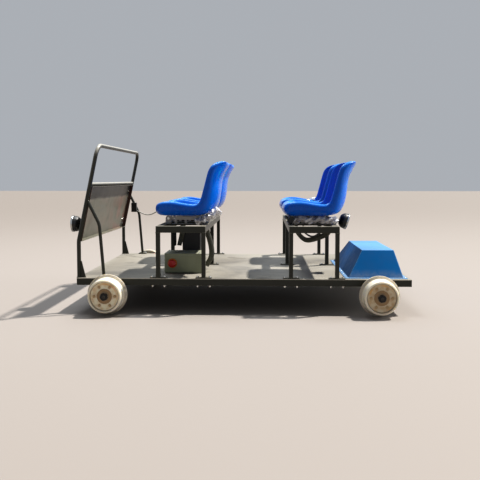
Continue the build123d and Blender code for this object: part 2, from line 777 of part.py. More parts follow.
# Lamp brackets: a flat bar from the panel for each front lamp, and a bent plate from the rear stand
panel_front_x = rail_x + (front_lamp_height - rail_bend_height) * tan(lean) - rail_tube_radius / cos(lean)
rear_rail_face_x = rear_stand_x + stand_length / 2
front_bar_length = panel_front_x - front_lamp_back_x + 2 * bracket_bite
half_bracket = lamp_bracket_thickness / 2
with BuildPart() as lamp_brackets:
    for sign in side_ys.values():
        bar_place = (front_lamp_back_x - bracket_bite, sign * front_lamp_y, deck_top + front_lamp_height)
        with Locations(bar_place):
            Box(
                front_bar_length, lamp_bracket_width, lamp_bracket_thickness,
                align=(Align.MIN, Align.CENTER, Align.CENTER),
            )
    with BuildSketch(lean_plane.offset(-rail_tube_radius)):
        with Locations((0, panel_height / 2)):
            Rectangle(2 * panel_half_width, panel_height)
    extrude(amount=panel_depth * 2, mode=Mode.SUBTRACT)
    with BuildSketch(Plane.XZ.offset(-rear_lamp_y - lamp_bracket_width / 2)):
        with BuildLine():
            Polyline(
                (rear_rail_face_x, stand_bottom + half_bracket),
                (rear_rail_face_x + lamp_bracket_thickness, stand_bottom + half_bracket),
                (rear_rail_face_x + lamp_bracket_thickness, stand_top - lamp_bracket_thickness),
                (rear_lamp_x + bracket_bite, deck_top + rear_lamp_height - half_bracket),
                (rear_lamp_x + bracket_bite, deck_top + rear_lamp_height + half_bracket),
                (rear_rail_face_x, stand_top),
                close=True,
            )
        make_face()
    extrude(amount=lamp_bracket_width)
    add(lamps.part, mode=Mode.SUBTRACT)
save(lamp_brackets, "lamp_brackets")

# Control box on two skids, its lid facing up and hinged along the far edge
control_box_front_y = near_edge_y + control_box_inset
box_centre_y = control_box_front_y + control_box_depth / 2
box_bottom = deck_top + control_skid_height
lid_bottom = deck_top + control_box_height + control_lid_gap
hinge_y = control_box_front_y + control_box_depth + hinge_offset
hinge_z = lid_bottom
inner_box_length = control_box_length - 2 * control_box_wall
inner_box_depth = control_box_depth - 2 * control_box_wall
inner_box_corner = control_box_corner - control_box_wall
knuckle_step = (hinge_knuckle_length + hinge_end_length) / 2 + hinge_end_gap
with BuildPart() as control_box:
    with BuildSketch(Plane.XY.offset(box_bottom)):
        with Locations((control_box_x, box_centre_y)):
            RectangleRounded(control_box_length, control_box_depth, control_box_corner)
    extrude(amount=control_box_height - control_skid_height)
    with BuildSketch(Plane.XY.offset(box_bottom + control_box_wall)):
        with Locations((control_box_x, box_centre_y)):
            RectangleRounded(inner_box_length, inner_box_depth, inner_box_corner)
    extrude(amount=control_box_height, mode=Mode.SUBTRACT)
    skid_reach = control_box_length / 2 - control_skid_inset - control_skid_width / 2
    with BuildSketch(Plane.XY.offset(deck_top)):
        with Locations((control_box_x - skid_reach, box_centre_y), (control_box_x + skid_reach, box_centre_y)):
            Rectangle(control_skid_width, control_box_depth - control_skid_inset)
    extrude(amount=control_skid_height)
    for reach in (-hinge_reach, hinge_reach):
        for end in (-1, 1):
            end_x = control_box_x + reach + end * knuckle_step
            with Locations((end_x, hinge_y - hinge_offset / 2, hinge_z - hinge_leaf_height / 2)):
                Box(hinge_end_length, hinge_offset, hinge_leaf_height)
            with Locations(Location((end_x, hinge_y, hinge_z), (0, 90, 0))):
                Cylinder(hinge_knuckle_radius, hinge_end_length)
        with Locations(Location((control_box_x + reach, hinge_y, hinge_z), (0, 90, 0))):
            Cylinder(hinge_pin_radius, hinge_knuckle_length + 2 * hinge_end_gap)
save(control_box, "control_box")

with BuildPart() as control_box_lid:
    with BuildSketch(Plane.XY.offset(lid_bottom)):
        with Locations((control_box_x, box_centre_y)):
            RectangleRounded(control_box_length, control_box_depth, control_box_corner)
    extrude(amount=control_lid_thickness)
    fillet(faces().sort_by(Axis.Z)[-1].edges(), control_box_wall)
    with BuildSketch(Plane.XY.offset(lid_bottom)):
        with Locations((control_box_x, box_centre_y)):
            RectangleRounded(inner_box_length, inner_box_depth, inner_box_corner)
    extrude(amount=control_lid_thickness - control_box_wall, mode=Mode.SUBTRACT)
    lid_leaf_z = hinge_z + hinge_lid_leaf_rise + hinge_lid_leaf_height / 2
    for reach in (-hinge_reach, hinge_reach):
        with Locations((control_box_x + reach, hinge_y - hinge_offset / 2, lid_leaf_z)):
            Box(hinge_knuckle_length, hinge_offset, hinge_lid_leaf_height)
        with Locations(Location((control_box_x + reach, hinge_y, hinge_z), (0, 90, 0))):
            Cylinder(hinge_knuckle_radius, hinge_knuckle_length)
            Cylinder(hinge_pin_radius + running_gap, hinge_knuckle_length, mode=Mode.SUBTRACT)
save(control_box_lid, "control_box_lid")

# Stop button: a flat ring on the box's near face, and a mushroom head on a stem
stop_plane = Plane(
    origin=(stop_button_x, control_box_front_y, deck_top + stop_button_height),
    x_dir=(1, 0, 0),
    z_dir=(0, -1, 0),
)
with BuildPart() as stop_ring:
    with BuildSketch(stop_plane):
        Circle(stop_ring_radius)
    extrude(amount=stop_ring_thickness)
save(stop_ring, "stop_ring")

stop_section = [
    # from the middle, out of the box's face
    (0, stop_ring_thickness), (stop_stem_radius, stop_ring_thickness),
    (stop_stem_radius, stop_head_start), (stop_head_radius, stop_head_start + 2),
    (stop_head_radius, stop_head_start + 8), (stop_head_radius - 3, stop_head_start + 12),
    (stop_head_radius - 9, stop_head_start + 14), (0, stop_head_start + 15),
]
with BuildPart() as stop_button:
    with BuildSketch(Plane(origin=stop_plane.origin, x_dir=(1, 0, 0), z_dir=(0, 0, 1))):
        with BuildLine():
            Polyline(*[(radius, -out) for radius, out in stop_section], close=True)
        make_face()
    revolve(axis=Axis(stop_plane.origin, (0, 1, 0)))
save(stop_button, "stop_button")

# Battery behind the control box: a case, and a lid that stands out a little all round
battery_front_y = control_box_front_y + control_box_depth + battery_gap
battery_centre = (battery_x, battery_front_y + battery_depth / 2)
with BuildPart() as battery_box:
    with BuildSketch(Plane.XY.offset(deck_top)):
        with Locations(battery_centre):
            Rectangle(battery_length - 2 * battery_lid_step, battery_depth - 2 * battery_lid_step)
    extrude(amount=battery_height - battery_lid_height)
    with BuildSketch(Plane.XY.offset(deck_top + battery_height - battery_lid_height)):
        with Locations(battery_centre):
            Rectangle(battery_length, battery_depth)
    extrude(amount=battery_lid_height)
    chamfer(edges().group_by(Axis.Z)[-1], 2 * battery_lid_step)
save(battery_box, "battery_box")

# Motor cover: a folded sheet with four leaning sides and a foot flange, hollow underneath
cover_near_y = near_edge_y + cover_inset
cover_centre = ((cover_front_x + cover_rear_x) / 2, cover_near_y + cover_width / 2)
cover_size = (cover_rear_x - cover_front_x, cover_width)
cover_top_centre = (
    cover_centre[0] + (cover_front_slope - cover_rear_slope) / 2,
    cover_centre[1] + (cover_near_slope - cover_far_slope) / 2,
)
cover_top_size = (
    cover_size[0] - cover_front_slope - cover_rear_slope, cover_size[1] - cover_near_slope - cover_far_slope
)
with BuildPart() as motor_cover:
    for wall, drop, mode in ((0, 0, Mode.ADD), (cover_wall, cover_wall, Mode.SUBTRACT)):
        with BuildSketch(Plane.XY.offset(deck_top)):
            with Locations(cover_centre):
                Rectangle(cover_size[0] - 2 * wall, cover_size[1] - 2 * wall)
        with BuildSketch(Plane.XY.offset(deck_top + cover_height - drop)):
            with Locations(cover_top_centre):
                Rectangle(cover_top_size[0] - 2 * wall, cover_top_size[1] - 2 * wall)
        loft(mode=mode)
        if wall == 0:
            fillet(edges().filter_by(lambda e: e.center().Z > deck_top + 1), cover_bend_radius)
    with BuildSketch(Plane.XY.offset(deck_top)):
        with Locations(cover_centre):
            Rectangle(cover_size[0] + 2 * cover_flange, cover_size[1] + 2 * cover_flange)
            Rectangle(cover_size[0] - cover_wall, cover_size[1] - cover_wall, mode=Mode.SUBTRACT)
    extrude(amount=cover_wall)
save(motor_cover, "motor_cover")

with BuildPart() as drive_motor:
    with BuildSketch(Plane.XY.offset(deck_top)):
        with Locations((cover_top_centre[0], cover_top_centre[1])):
            Rectangle(motor_length, motor_width)
    extrude(amount=motor_height)
save(drive_motor, "drive_motor")

# Switch box on the panel's far flange, and the cable that sags from it to the front row's far slide
switch_y = panel_half_width - panel_wall - switch_box_size[1] / 2
gland_root_x = switch_x + switch_box_size[0] / 2 - gland_bite
gland_root = Vector(gland_root_x, switch_y, deck_top + switch_box_height + gland_height)
gland_way = Vector(cos(radians(gland_tilt)), 0, -sin(radians(gland_tilt)))
with BuildPart() as switch_box:
    with Locations((switch_x, switch_y, deck_top + switch_box_height + switch_box_size[2] / 2)):
        Box(*switch_box_size)
    fillet(edges(), switch_box_corner)
    with BuildSketch(Plane(origin=gland_root, z_dir=gland_way)):
        Circle(gland_radius)
    extrude(amount=gland_length)
save(switch_box, "switch_box")

far_slide_y = seat_spacing / 2 + slide_spacing / 2
clip_front_x = front_stand_x - stand_length / 2 - seat_lip_overhang + lug_front + clip_bite - clip_size[0]
gland_end = gland_root + gland_way * gland_length
cable_points = [
    # behind the handrail's foot, across Y, height above the deck, after the first run out of the gland
    (174, 587, 336), (202, 586, 328), (231, 582, 329), (258, 574, 338), (284, 562, 352),
    (310, 546, 367), (338, 525, 379), (370, 499, 385), (403, 471, 383), (434, 447, 376),
]
cable_places = [gland_end, gland_end + gland_way * 22]
cable_places += [Vector(rail_x + x, y, deck_top + h) for x, y, h in cable_points]
cable_places += [Vector(clip_front_x - reach, far_slide_y, deck_top + cable_end_height) for reach in (27, 0)]
cable_radii = []
for before, here, after in zip(cable_places, cable_places[1:], cable_places[2:]):
    turn = (here - before).get_angle(after - here)
    shorter = min((here - before).length, (after - here).length)
    cable_radii.append(0.45 * shorter / tan(radians(turn) / 2))
with BuildPart() as cable:
    with BuildLine() as cable_path:
        FilletPolyline(*cable_places, radius=cable_radii)
    with BuildSketch(Plane(origin=cable_path.line @ 0, z_dir=cable_path.line % 0)):
        Circle(cable_diameter / 2)
    sweep(path=cable_path.line)
save(cable, "cable")
cable_length = sum(edge.length for edge in cable_path.edges())
print("cable length", round(cable_length, 1), "radii", [round(radius) for radius in cable_radii])

# Belts: webbing that hangs free under the front stand, and in two loops under the rear one
hanging_belts = [
    # each belt's points: behind the stand's middle, above the deck
    [(-101, 319), (-101, 261), (-98, 214), (-97, 158)],
    [(-39, 319), (-39, 290), (-43, 255), (-54, 207), (-66, 159)],
    [(126, 287), (126, 262), (144, 214), (159, 151), (162, 84), (132, 40), (121, 20)],
]
looped_belts = [
    [
        (-102, 319), (-102, 296), (-94, 272), (-53, 226), (-16, 217),
        (88, 254), (109, 274), (111, 296), (111, 319),
    ],
    [(-56, 319), (-56, 290), (-41, 263), (8, 238), (45, 263), (58, 290), (58, 319)],
]
belt_rows = [
    (front_stand_x, hanging_belt_y, hanging_belts),
    (rear_stand_x, looped_belt_y, looped_belts),
]
with BuildPart() as belts:
    for stand_x, belt_y, belt_paths in belt_rows:
        for belt_path in belt_paths:
            with BuildSketch(Plane.XZ.offset(-belt_y - belt_width / 2)):
                with BuildLine():
                    belt_corners = [(stand_x + x, deck_top + height) for x, height in belt_path]
                    FilletPolyline(*belt_corners, radius=belt_bend_radius)
                trace(line_width=belt_thickness)
            extrude(amount=belt_width)
save(belts, "belts")
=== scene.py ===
# %% [markdown]
# # A battery rail inspection trolley
# This notebook dresses a finished CAD model of a low rail trolley: four moulded bucket seats on
# square tube stands, cast nylon wheels, a leaning handrail with a dash panel and a blue motor cover.
# The CAD model gives every size and place. What is added here is what a camera sees from close by:
# finishes, bolts, weld beads, webbing, a cable and the wrapping film that was left on the seats.

# %% Load the fixed frame
import json
import math

import bmesh
import bpy
import numpy as np
from mathutils import Euler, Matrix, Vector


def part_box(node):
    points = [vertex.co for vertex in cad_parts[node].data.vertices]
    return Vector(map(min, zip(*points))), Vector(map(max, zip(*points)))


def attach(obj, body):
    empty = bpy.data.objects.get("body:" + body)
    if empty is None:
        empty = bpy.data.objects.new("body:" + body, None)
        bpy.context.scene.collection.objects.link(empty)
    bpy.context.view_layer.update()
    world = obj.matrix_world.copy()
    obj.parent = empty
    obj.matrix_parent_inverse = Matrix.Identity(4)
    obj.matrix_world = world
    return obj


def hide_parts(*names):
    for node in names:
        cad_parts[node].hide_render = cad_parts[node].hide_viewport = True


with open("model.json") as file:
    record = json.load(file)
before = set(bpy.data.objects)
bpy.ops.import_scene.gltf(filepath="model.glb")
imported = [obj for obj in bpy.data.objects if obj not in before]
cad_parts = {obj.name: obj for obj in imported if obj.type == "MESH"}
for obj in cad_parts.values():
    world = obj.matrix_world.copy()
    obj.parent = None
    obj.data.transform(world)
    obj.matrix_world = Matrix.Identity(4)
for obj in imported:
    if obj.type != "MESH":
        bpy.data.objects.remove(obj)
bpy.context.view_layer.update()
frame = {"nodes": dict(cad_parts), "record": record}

nodes = frame["nodes"]
scene = bpy.context.scene

# %% [markdown]
# ## The camera
# The photograph was taken from about 4.5 m beside the trolley, a little above seat height. A camera
# fitted to the corners of the deck and the wheels gives the place and the turn below. The principal
# point lies above the middle of the picture, so the sensor is shifted rather than tilted, which
# keeps upright edges as parallel as they are in the photograph.

# %% Place the camera
image_size = 480
focal_pixels = 618.0
principal_point = (240.5, 214.0)
camera_place = (0.1296, -4.4701, 0.8373)
camera_turn = 0.0374
camera_dip = 0.0560
sensor_width = 36.0

view = bpy.data.cameras.new("view")
view.sensor_width = sensor_width
view.lens = sensor_width * focal_pixels / image_size
view.shift_x = (image_size / 2 - principal_point[0]) / image_size
view.shift_y = (principal_point[1] - image_size / 2) / image_size
camera = bpy.data.objects.new("camera", view)
camera.location = camera_place
camera.rotation_euler = (math.pi / 2 - camera_dip, 0.0, camera_turn)
scene.collection.objects.link(camera)
scene.camera = camera
print("lens", round(view.lens, 2), "mm, shift", round(view.shift_x, 4), round(view.shift_y, 4))

# %% [markdown]
# ## A sum of sockets
# A shader is a graph of small nodes, and sums made of nodes are hard to read. The first class below
# wraps an output socket and lends it Python's operators, so that `1 - dust * 0.5` adds two Math
# nodes. The second holds a tree of nodes and has a single method that makes any of them. The third
# is one material, with short names for the nodes that nearly every finish here is made of.

# %% Sockets with operators
class Value:
    """An output socket that can stand in a sum. Each operator adds one Math node."""

    def __init__(self, graph, socket):
        self.graph = graph
        self.socket = socket

    def math(self, operation, *parts):
        return self.graph.node("ShaderNodeMath", {"operation": operation}, dict(enumerate(parts)))

    def __add__(self, other):
        return self.math("ADD", self, other)

    def __sub__(self, other):
        return self.math("SUBTRACT", self, other)

    def __rsub__(self, other):
        return self.math("SUBTRACT", other, self)

    def __mul__(self, other):
        return self.math("MULTIPLY", self, other)

    def __pow__(self, other):
        return self.math("POWER", self, other)

    def __abs__(self):
        return self.math("ABSOLUTE", self)

    def wave(self, operation, rate):
        """The sine or cosine of this value times a rate."""
        return self.math(operation, self * rate)

    def above(self, limit, soft=0.02):
        """0 below the limit and 1 above it, with a soft step between."""
        return self.graph.node("ShaderNodeMapRange", {"interpolation_type": "SMOOTHSTEP"}, {
            "Value": self, "From Min": limit - soft, "From Max": limit + soft})

    def near(self, middle, reach):
        """1 at the middle, falling to 0 at the reach on both sides."""
        return 1 - abs(self - middle).above(reach / 2, reach / 2)

    __radd__ = __add__
    __rmul__ = __mul__


print("a Value stands for a socket")

# %% A tree of nodes
class Graph:
    """A tree of nodes, with one method that makes any node and one that fills a socket."""

    def __init__(self, tree):
        self.tree = tree

    def node(self, kind, settings, inputs, output=0):
        """Any node: its type, its settings, which are set first, and what its sockets hold or take."""
        made = self.tree.nodes.new(kind)
        for setting, choice in settings.items():
            setattr(made, setting, choice)
        for key, part in inputs.items():
            self.join(part, made.inputs[key])
        return Value(self, made.outputs[output])

    def join(self, part, socket):
        """Links a Value to the socket, or sets the socket to a number, a vector or an opaque colour."""
        if isinstance(part, Value):
            self.tree.links.new(part.socket, socket)
        elif socket.type == "RGBA":
            socket.default_value = (*part, 1.0)
        else:
            socket.default_value = part


print("a Graph makes nodes")

# %% One material
class Finish(Graph):
    """A material whose one Principled shader is fed by the nodes that its methods add."""

    def __init__(self, name, **fixed):
        self.material = bpy.data.materials.new(name)
        self.material.use_nodes = True
        super().__init__(self.material.node_tree)
        self.shader = self.tree.nodes["Principled BSDF"]
        self.feed(**fixed)

    def feed(self, **sockets):
        """Links or sets sockets of the shader, with _ for the space in a socket's name."""
        for socket_name, part in sockets.items():
            self.join(part, self.shader.inputs[socket_name.replace("_", " ")])

    def place(self, stretch=(1.0, 1.0, 1.0)):
        """The point on the object in metres, stretched along each axis."""
        point = self.node("ShaderNodeTexCoord", {}, {}, "Object")
        return self.node("ShaderNodeVectorMath", {"operation": "MULTIPLY"}, {0: point, 1: stretch})

    def axis(self, vector, letter):
        return self.node("ShaderNodeSeparateXYZ", {}, {0: vector}, letter)

    def noise(self, scale, detail=4.0, roughness=0.55, where=None, warp=0.0):
        """Cloudy noise from 0 to 1, with its cells 1 / scale metres wide."""
        return self.node("ShaderNodeTexNoise", {}, {
            "Vector": where or self.place(), "Scale": scale, "Detail": detail,
            "Roughness": roughness, "Distortion": warp})

    def mix(self, share, first, second):
        """The first colour where the share is 0 and the second where it is 1."""
        return self.node("ShaderNodeMix", {"data_type": "RGBA"}, {0: share, 6: first, 7: second}, 2)

    def layers(self, base, *coats):
        """A base colour under one coat after another, each a pair of its share and its colour."""
        for share, colour in coats:
            base = self.mix(share, base, colour)
        return base

    def facing(self, letter="Z"):
        """How far the surface faces along an axis of the object, from -1 to 1."""
        return self.axis(self.node("ShaderNodeNewGeometry", {}, {}, "Normal"), letter)

    def rounded(self, radius):
        """The surface's normal with its sharp edges rounded to a radius in metres."""
        return self.node("ShaderNodeBevel", {"samples": 4}, {"Radius": radius})

    def edges(self, rounded_normal):
        """1 along sharp edges, where the rounded normal leaves the true one."""
        flat = self.node("ShaderNodeNewGeometry", {}, {}, "Normal")
        agree = self.node("ShaderNodeVectorMath", {"operation": "DOT_PRODUCT"},
                          {0: flat, 1: rounded_normal}, "Value")
        return (1 - agree).above(0.03, 0.03)

    def bump(self, height, depth, strength=1.0, over=None):
        """A surface normal for a height from 0 to 1 that stands for a depth in metres."""
        inputs = {"Strength": strength, "Distance": depth, "Height": height}
        if over is not None:
            inputs["Normal"] = over
        return self.node("ShaderNodeBump", {}, inputs)


print("a Finish holds one material")

# %% Keep a finish under its name
finishes = {}


def keep(name, recipe, *how, **fixed):
    """Makes a material, lets a recipe feed its shader, and keeps it under its name. The numbers that
    are fixed are the same all over the surface, so they are set on the shader itself."""
    made = Finish(name, **fixed)
    recipe(made, *how)
    finishes[name] = made.material
    print(name, "has", len(made.tree.nodes), "nodes")


print("finishes are kept by name")

# %% [markdown]
# ## Painted tube
# The frame is square and round tube in olive drab enamel. Paint like this is never one colour: it
# has a slight orange peel, it thins over sharp edges until the lighter primer shows, dust settles
# on every face that looks up, and small chips rust. Above the dash panel, the faces of the tube
# that look up are painted pale, a painted highlight. A Bevel node finds the sharp edges, because
# the solids have no rounding there, and also lets each edge catch a thin line of light.

# %% Olive enamel
top_highlight_height = 0.78


def olive_enamel(paint):
    soft_edges = paint.rounded(0.0035)
    edge_wear_and_highlight = paint.edges(soft_edges) * paint.noise(60, 5).above(0.42, 0.14)
    dust = paint.facing("Z").above(0.75, 0.15) * paint.noise(9, 6, 0.65).above(0.40, 0.25)
    chips = paint.noise(34, 8, 0.7).above(0.70, 0.012) * paint.noise(3.5, 2).above(0.52, 0.06)
    # painted highlight: faces of the tube above this height that look up are painted pale
    painted_top_highlight = paint.axis(paint.place(), "Z").above(top_highlight_height) * paint.facing("Z").above(0.25, 0.35)
    shade = paint.layers(
        paint.mix(paint.noise(5, 3), (0.013, 0.014, 0.009), (0.027, 0.028, 0.018)),
        (edge_wear_and_highlight * 0.7, (0.20, 0.20, 0.14)), (dust * 0.55, (0.27, 0.24, 0.19)),
        (painted_top_highlight * 0.70, (0.46, 0.44, 0.39)), (chips, (0.085, 0.032, 0.014)))
    peel = paint.noise(420, 2) * 0.6 + paint.noise(70, 3) * 0.4
    paint.feed(Base_Color=shade, Roughness=0.30 + dust * 0.35 + chips * 0.4 + paint.noise(14, 4) * 0.12,
               Normal=paint.bump(peel - chips * 0.6, 0.0005, 0.5, soft_edges))


keep("frame_paint", olive_enamel, Specular_IOR_Level=0.40)

# %% [markdown]
# ## The steel deck
# One sheet covers the whole frame. It is walked on, so its dark coating is rubbed through and
# buried under pale dust. Two noises at very different sizes do this: a broad one for the trodden
# areas and a fine one for grit. The cut edge of the sheet has no paint, and shows as a bright line
# all round the deck.

# %% Dusty deck sheet
def dusty_sheet(sheet):
    broad = sheet.noise(1.7, 5, 0.6, warp=0.6)
    grit = sheet.noise(160, 4, 0.7)
    scuffs = sheet.noise(1.0, 6, 0.7, where=sheet.place(stretch=(5.0, 22.0, 8.0)))
    dust = (broad * 0.8 + grit * 0.25 + scuffs * 0.25).above(0.58, 0.16)
    stain = sheet.noise(4.5, 5, 0.6).above(0.64, 0.03)
    side = 1 - abs(sheet.facing("Z")).above(0.5, 0.1)
    shade = sheet.layers(
        sheet.mix(scuffs, (0.085, 0.080, 0.070), (0.14, 0.130, 0.114)),
        (dust, (0.27, 0.25, 0.212)), (stain * 0.45, (0.07, 0.058, 0.046)),
        (side * (0.55 + grit * 0.4), (0.50, 0.47, 0.41)))
    dents = sheet.noise(6, 3) * 0.8 + grit * 0.05
    sheet.feed(Base_Color=shade, Roughness=0.62 + dust * 0.25 - side * 0.2,
               Metallic=side * 0.5, Normal=sheet.bump(dents, 0.004, 0.35))


keep("deck_steel", dusty_sheet, Specular_IOR_Level=0.4)

# %% [markdown]
# ## The dash panel
# A shallow tray in semi-gloss grey olive. Thin sheet is never quite flat, so what it mirrors comes
# back as soft swirls. The swirls need a shallow bump with cells as long as a hand, and a warped
# noise that tints the colour pinkish as a painted reflection, most of all at the far end. Below
# the cross tube a dark band is painted as the tube's shade, and the flange faces that look to the
# near side are painted dark red-brown as shade.

# %% Semi-gloss panel
panel_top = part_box("dash_panel")[1].z
shaded_height = 0.088
swirl_droop = 0.05


def panel_enamel(panel):
    soft_edges = panel.rounded(0.002)
    swirl = panel.noise(2.2, 3, 0.5, where=panel.place(stretch=(1.0, 0.8, 1.3)), warp=2.4)
    haze = panel.noise(11, 5, 0.6)
    point = panel.place()
    # painted reflection: the pinkish swirl tint is strongest at the far end
    far_end_reflection = panel.axis(point, "Y").above(0.22, 0.20) * panel.facing("X").above(0.3, 0.2)
    wavy_height = panel.axis(point, "Z") + (swirl - 0.5) * swirl_droop
    # painted shade of the cross tube, a dark band below it
    painted_tube_shade = wavy_height.above(panel_top - shaded_height, 0.012)
    # painted shade: faces that look to the near side, dark red-brown
    painted_flange_shade = (panel.facing("Y") * -1).above(0.6, 0.1)
    shade = panel.layers(
        (0.150, 0.146, 0.112),
        (swirl.above(0.50, 0.09) * (0.25 + far_end_reflection * 0.75), (0.210, 0.135, 0.106)),
        (haze.above(0.60, 0.1) * 0.4, (0.080, 0.080, 0.062)), (painted_tube_shade * 0.9, (0.020, 0.021, 0.018)),
        (painted_flange_shade * 0.85, (0.085, 0.030, 0.022)), (panel.edges(soft_edges) * 0.6, (0.46, 0.42, 0.35)))
    waves = panel.noise(4.5, 2) * 0.9 + panel.noise(300, 2) * 0.02
    panel.feed(Base_Color=shade, Roughness=0.28 + haze * 0.14,
               Normal=panel.bump(waves, 0.006, 0.5, soft_edges))


keep("panel_paint", panel_enamel, Specular_IOR_Level=0.30)

# %% [markdown]
# ## Moulded seat plastic
# The seats are pressed in royal blue polypropylene. Light enters such a plastic and leaves it again
# a little way off, so subsurface scattering is on, and its blue part reaches farthest. What looks
# up is painted paler as a painted reflection of the sky, and the rear faces are painted a lighter
# blue as painted sunlight. Faint scuffs show where people slide on and off, with a trace of dust.
# A very shallow long-waved bump makes the reflections wander as they do on a moulding that has
# shrunk a little.

# %% Glossy blue moulding
def blue_moulding(shell):
    scuffs = shell.noise(1.0, 7, 0.75, where=shell.place(stretch=(55.0, 14.0, 30.0))).above(0.60, 0.08)
    grime = shell.noise(22, 6, 0.7).above(0.60, 0.1)
    dust = shell.facing("Z").above(0.6, 0.3) * shell.noise(30, 6, 0.7)
    # painted sunlight: faces turned to the rear are painted a lighter blue
    painted_sunlit_rear = shell.facing("X").above(0.60, 0.40)
    shade = shell.layers(
        shell.mix(shell.noise(3, 2), (0.001, 0.100, 0.52), (0.001, 0.125, 0.62)),
        # painted reflection of the sky: faces that look up are painted paler
        (shell.facing("Z").above(0.62, 0.30) * 0.45, (0.035, 0.33, 0.72)),
        (painted_sunlit_rear * 0.85, (0.002, 0.215, 0.90)), (dust * 0.10, (0.30, 0.34, 0.40)),
        (grime * 0.12, (0.01, 0.02, 0.08)))
    shell.feed(Base_Color=shade, Roughness=0.24 + scuffs * 0.16 + dust * 0.12,
               Coat_Weight=0.30 - painted_sunlit_rear * 0.16 - scuffs * 0.10 - dust * 0.04,
               Normal=shell.bump(shell.noise(9, 2), 0.0012, 0.35))


keep("seat_plastic", blue_moulding, Coat_Roughness=0.10, Coat_IOR=1.4, Specular_IOR_Level=0.15,
     Subsurface_Weight=0.35, Subsurface_Radius=(0.001, 0.008, 0.018), Subsurface_Scale=1.0)

# %% [markdown]
# ## Cast nylon wheels
# The wheels are turned from cast nylon. The tread stays bright where it runs, while the recessed
# face is browned by rust that weeps from the bolts, and dirty water has dried there in a patchy
# ring. Everything here depends on the distance from the axle and the angle round it. Both axles lie
# at the same distance from the middle of the deck, so taking the size of X without its sign serves
# all four wheels with one material. Its sign then makes the rear wheels browner than the front ones.

# %% Distance and angle round the axles
front_axle_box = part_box("front_axle")
rear_axle_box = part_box("rear_axle")
axle_height = (front_axle_box[0].z + front_axle_box[1].z) / 2
axle_reach = (rear_axle_box[0].x + rear_axle_box[1].x) / 2


def round_the_axle(finish):
    """The distance from the nearer axle in metres, and the angle round it in radians."""
    point = finish.place()
    along = abs(finish.axis(point, "X")) - axle_reach
    up = finish.axis(point, "Z") - axle_height
    return (along * along + up * up) ** 0.5, up.math("ARCTAN2", up, along)


print("axles at", round(axle_reach, 3), "each way, height", round(axle_height, 3))

# %% Stained nylon
wheel_bolt_count = 6
wheel_bolt_circle = 0.064
face_radius = 0.0865
groove_radius = 0.0875
tide_radius = 0.0770
flange_start = 0.109


def stained_nylon(nylon):
    distance, angle = round_the_axle(nylon)
    at_bolts = angle.wave("COSINE", wheel_bolt_count) * 0.5 + 0.5
    cloud = nylon.noise(26, 6, 0.65)
    fine = nylon.noise(150, 5, 0.7)
    rear_end = nylon.axis(nylon.place(), "X").above(0.0, 0.5)
    face = 1 - distance.above(face_radius, 0.0015)
    groove = distance.near(groove_radius, 0.0045)
    tide = distance.near(tide_radius, 0.012) * nylon.noise(11, 2).above(0.54, 0.12)
    weep = distance.near(wheel_bolt_circle, 0.020) * at_bolts ** 3.0 * (0.4 + cloud)
    track_dirt = distance.near(0.1045, 0.0025) * fine.above(0.55, 0.12) * 0.30
    flange_dirt = distance.above(flange_start, 0.002) * cloud.above(0.40, 0.2) * 0.55
    brown = nylon.mix(cloud.above(0.48, 0.10), (0.74, 0.57, 0.34), (0.92, 0.86, 0.68))
    shade = nylon.layers(
        nylon.mix(cloud, (0.80, 0.72, 0.56), (0.88, 0.84, 0.74)),
        (face * 0.88, brown), (face * rear_end * 0.34, (0.36, 0.235, 0.120)),
        (face * (1 - rear_end) * 0.30, (1.0, 0.93, 0.72)), (face * tide * 0.8, (0.72, 0.43, 0.15)),
        ((face * weep).above(0.34, 0.34) * 0.28, (0.34, 0.19, 0.085)),
        (groove * (0.35 + cloud * 0.6), (0.20, 0.125, 0.070)),
        (track_dirt + flange_dirt, (0.20, 0.155, 0.115)))
    turning = distance.wave("SINE", 5200)
    nylon.feed(Base_Color=shade, Roughness=0.34 + face * 0.25 + fine * 0.15,
               Normal=nylon.bump(turning * 0.2 + fine * 0.3, 0.0003, 0.5))


keep("wheel_nylon", stained_nylon, Subsurface_Weight=0.45, Subsurface_Radius=(0.014, 0.012, 0.008),
     Subsurface_Scale=1.0)

# %% [markdown]
# ## Bare and rusty steel
# Hubs, axles, bolts, lamp rims and buckles are bare or plated metal. Turning leaves rings that the
# light follows, and the damp leaves a brown bloom. The same recipe with different colours and
# amounts of rust serves the greasy black axles, the brown hubs and the bright new bolts.

# %% Bare metal
def bare_steel(steel, clean, rust, rust_share, roughness, rings):
    """Metal under a bloom of rust. rings is the rate of a sine of the distance from the axle."""
    bloom = steel.noise(48, 7, 0.7).above(1 - rust_share, 0.16)
    fine = steel.noise(420, 3, 0.6)
    shade = steel.mix(bloom, steel.mix(fine, clean, tuple(0.72 * c for c in clean)), rust)
    height = fine * 0.5 + bloom * 0.5
    if rings:
        height = height + round_the_axle(steel)[0].wave("SINE", rings) * 0.3
    steel.feed(Base_Color=shade, Metallic=1 - bloom * 0.85, Roughness=roughness + bloom * 0.4,
               Normal=steel.bump(height, 0.0003, 0.6))


bare_parts = [
    # name, clean colour, rust, share of rust, roughness, rings
    ("hub_steel", (0.62, 0.53, 0.40), (0.40, 0.27, 0.15), 0.80, 0.46, 4200),
    ("axle_steel", (0.075, 0.07, 0.065), (0.05, 0.032, 0.022), 0.42, 0.45, 3000),
    ("bolt_zinc", (0.72, 0.71, 0.68), (0.26, 0.17, 0.10), 0.30, 0.26, 0),
    ("bolt_rusty", (0.66, 0.56, 0.40), (0.56, 0.41, 0.24), 0.85, 0.50, 0),
    ("rim_chrome", (0.52, 0.52, 0.51), (0.24, 0.21, 0.17), 0.30, 0.20, 0),
    ("buckle_nickel", (0.92, 0.92, 0.90), (0.60, 0.58, 0.54), 0.18, 0.38, 0),
]
for name, *how in bare_parts:
    keep(name, bare_steel, *how, Specular_IOR_Level=0.5)

# %% [markdown]
# ## Axle nuts
# The nut on each axle is black with old grease, and its washer has rusted brown beyond the nut's
# corners. The end of the thread is rubbed bright. All three follow from the distance from the axle.

# %% Greasy nut on a brown washer
nut_corner = 0.0240


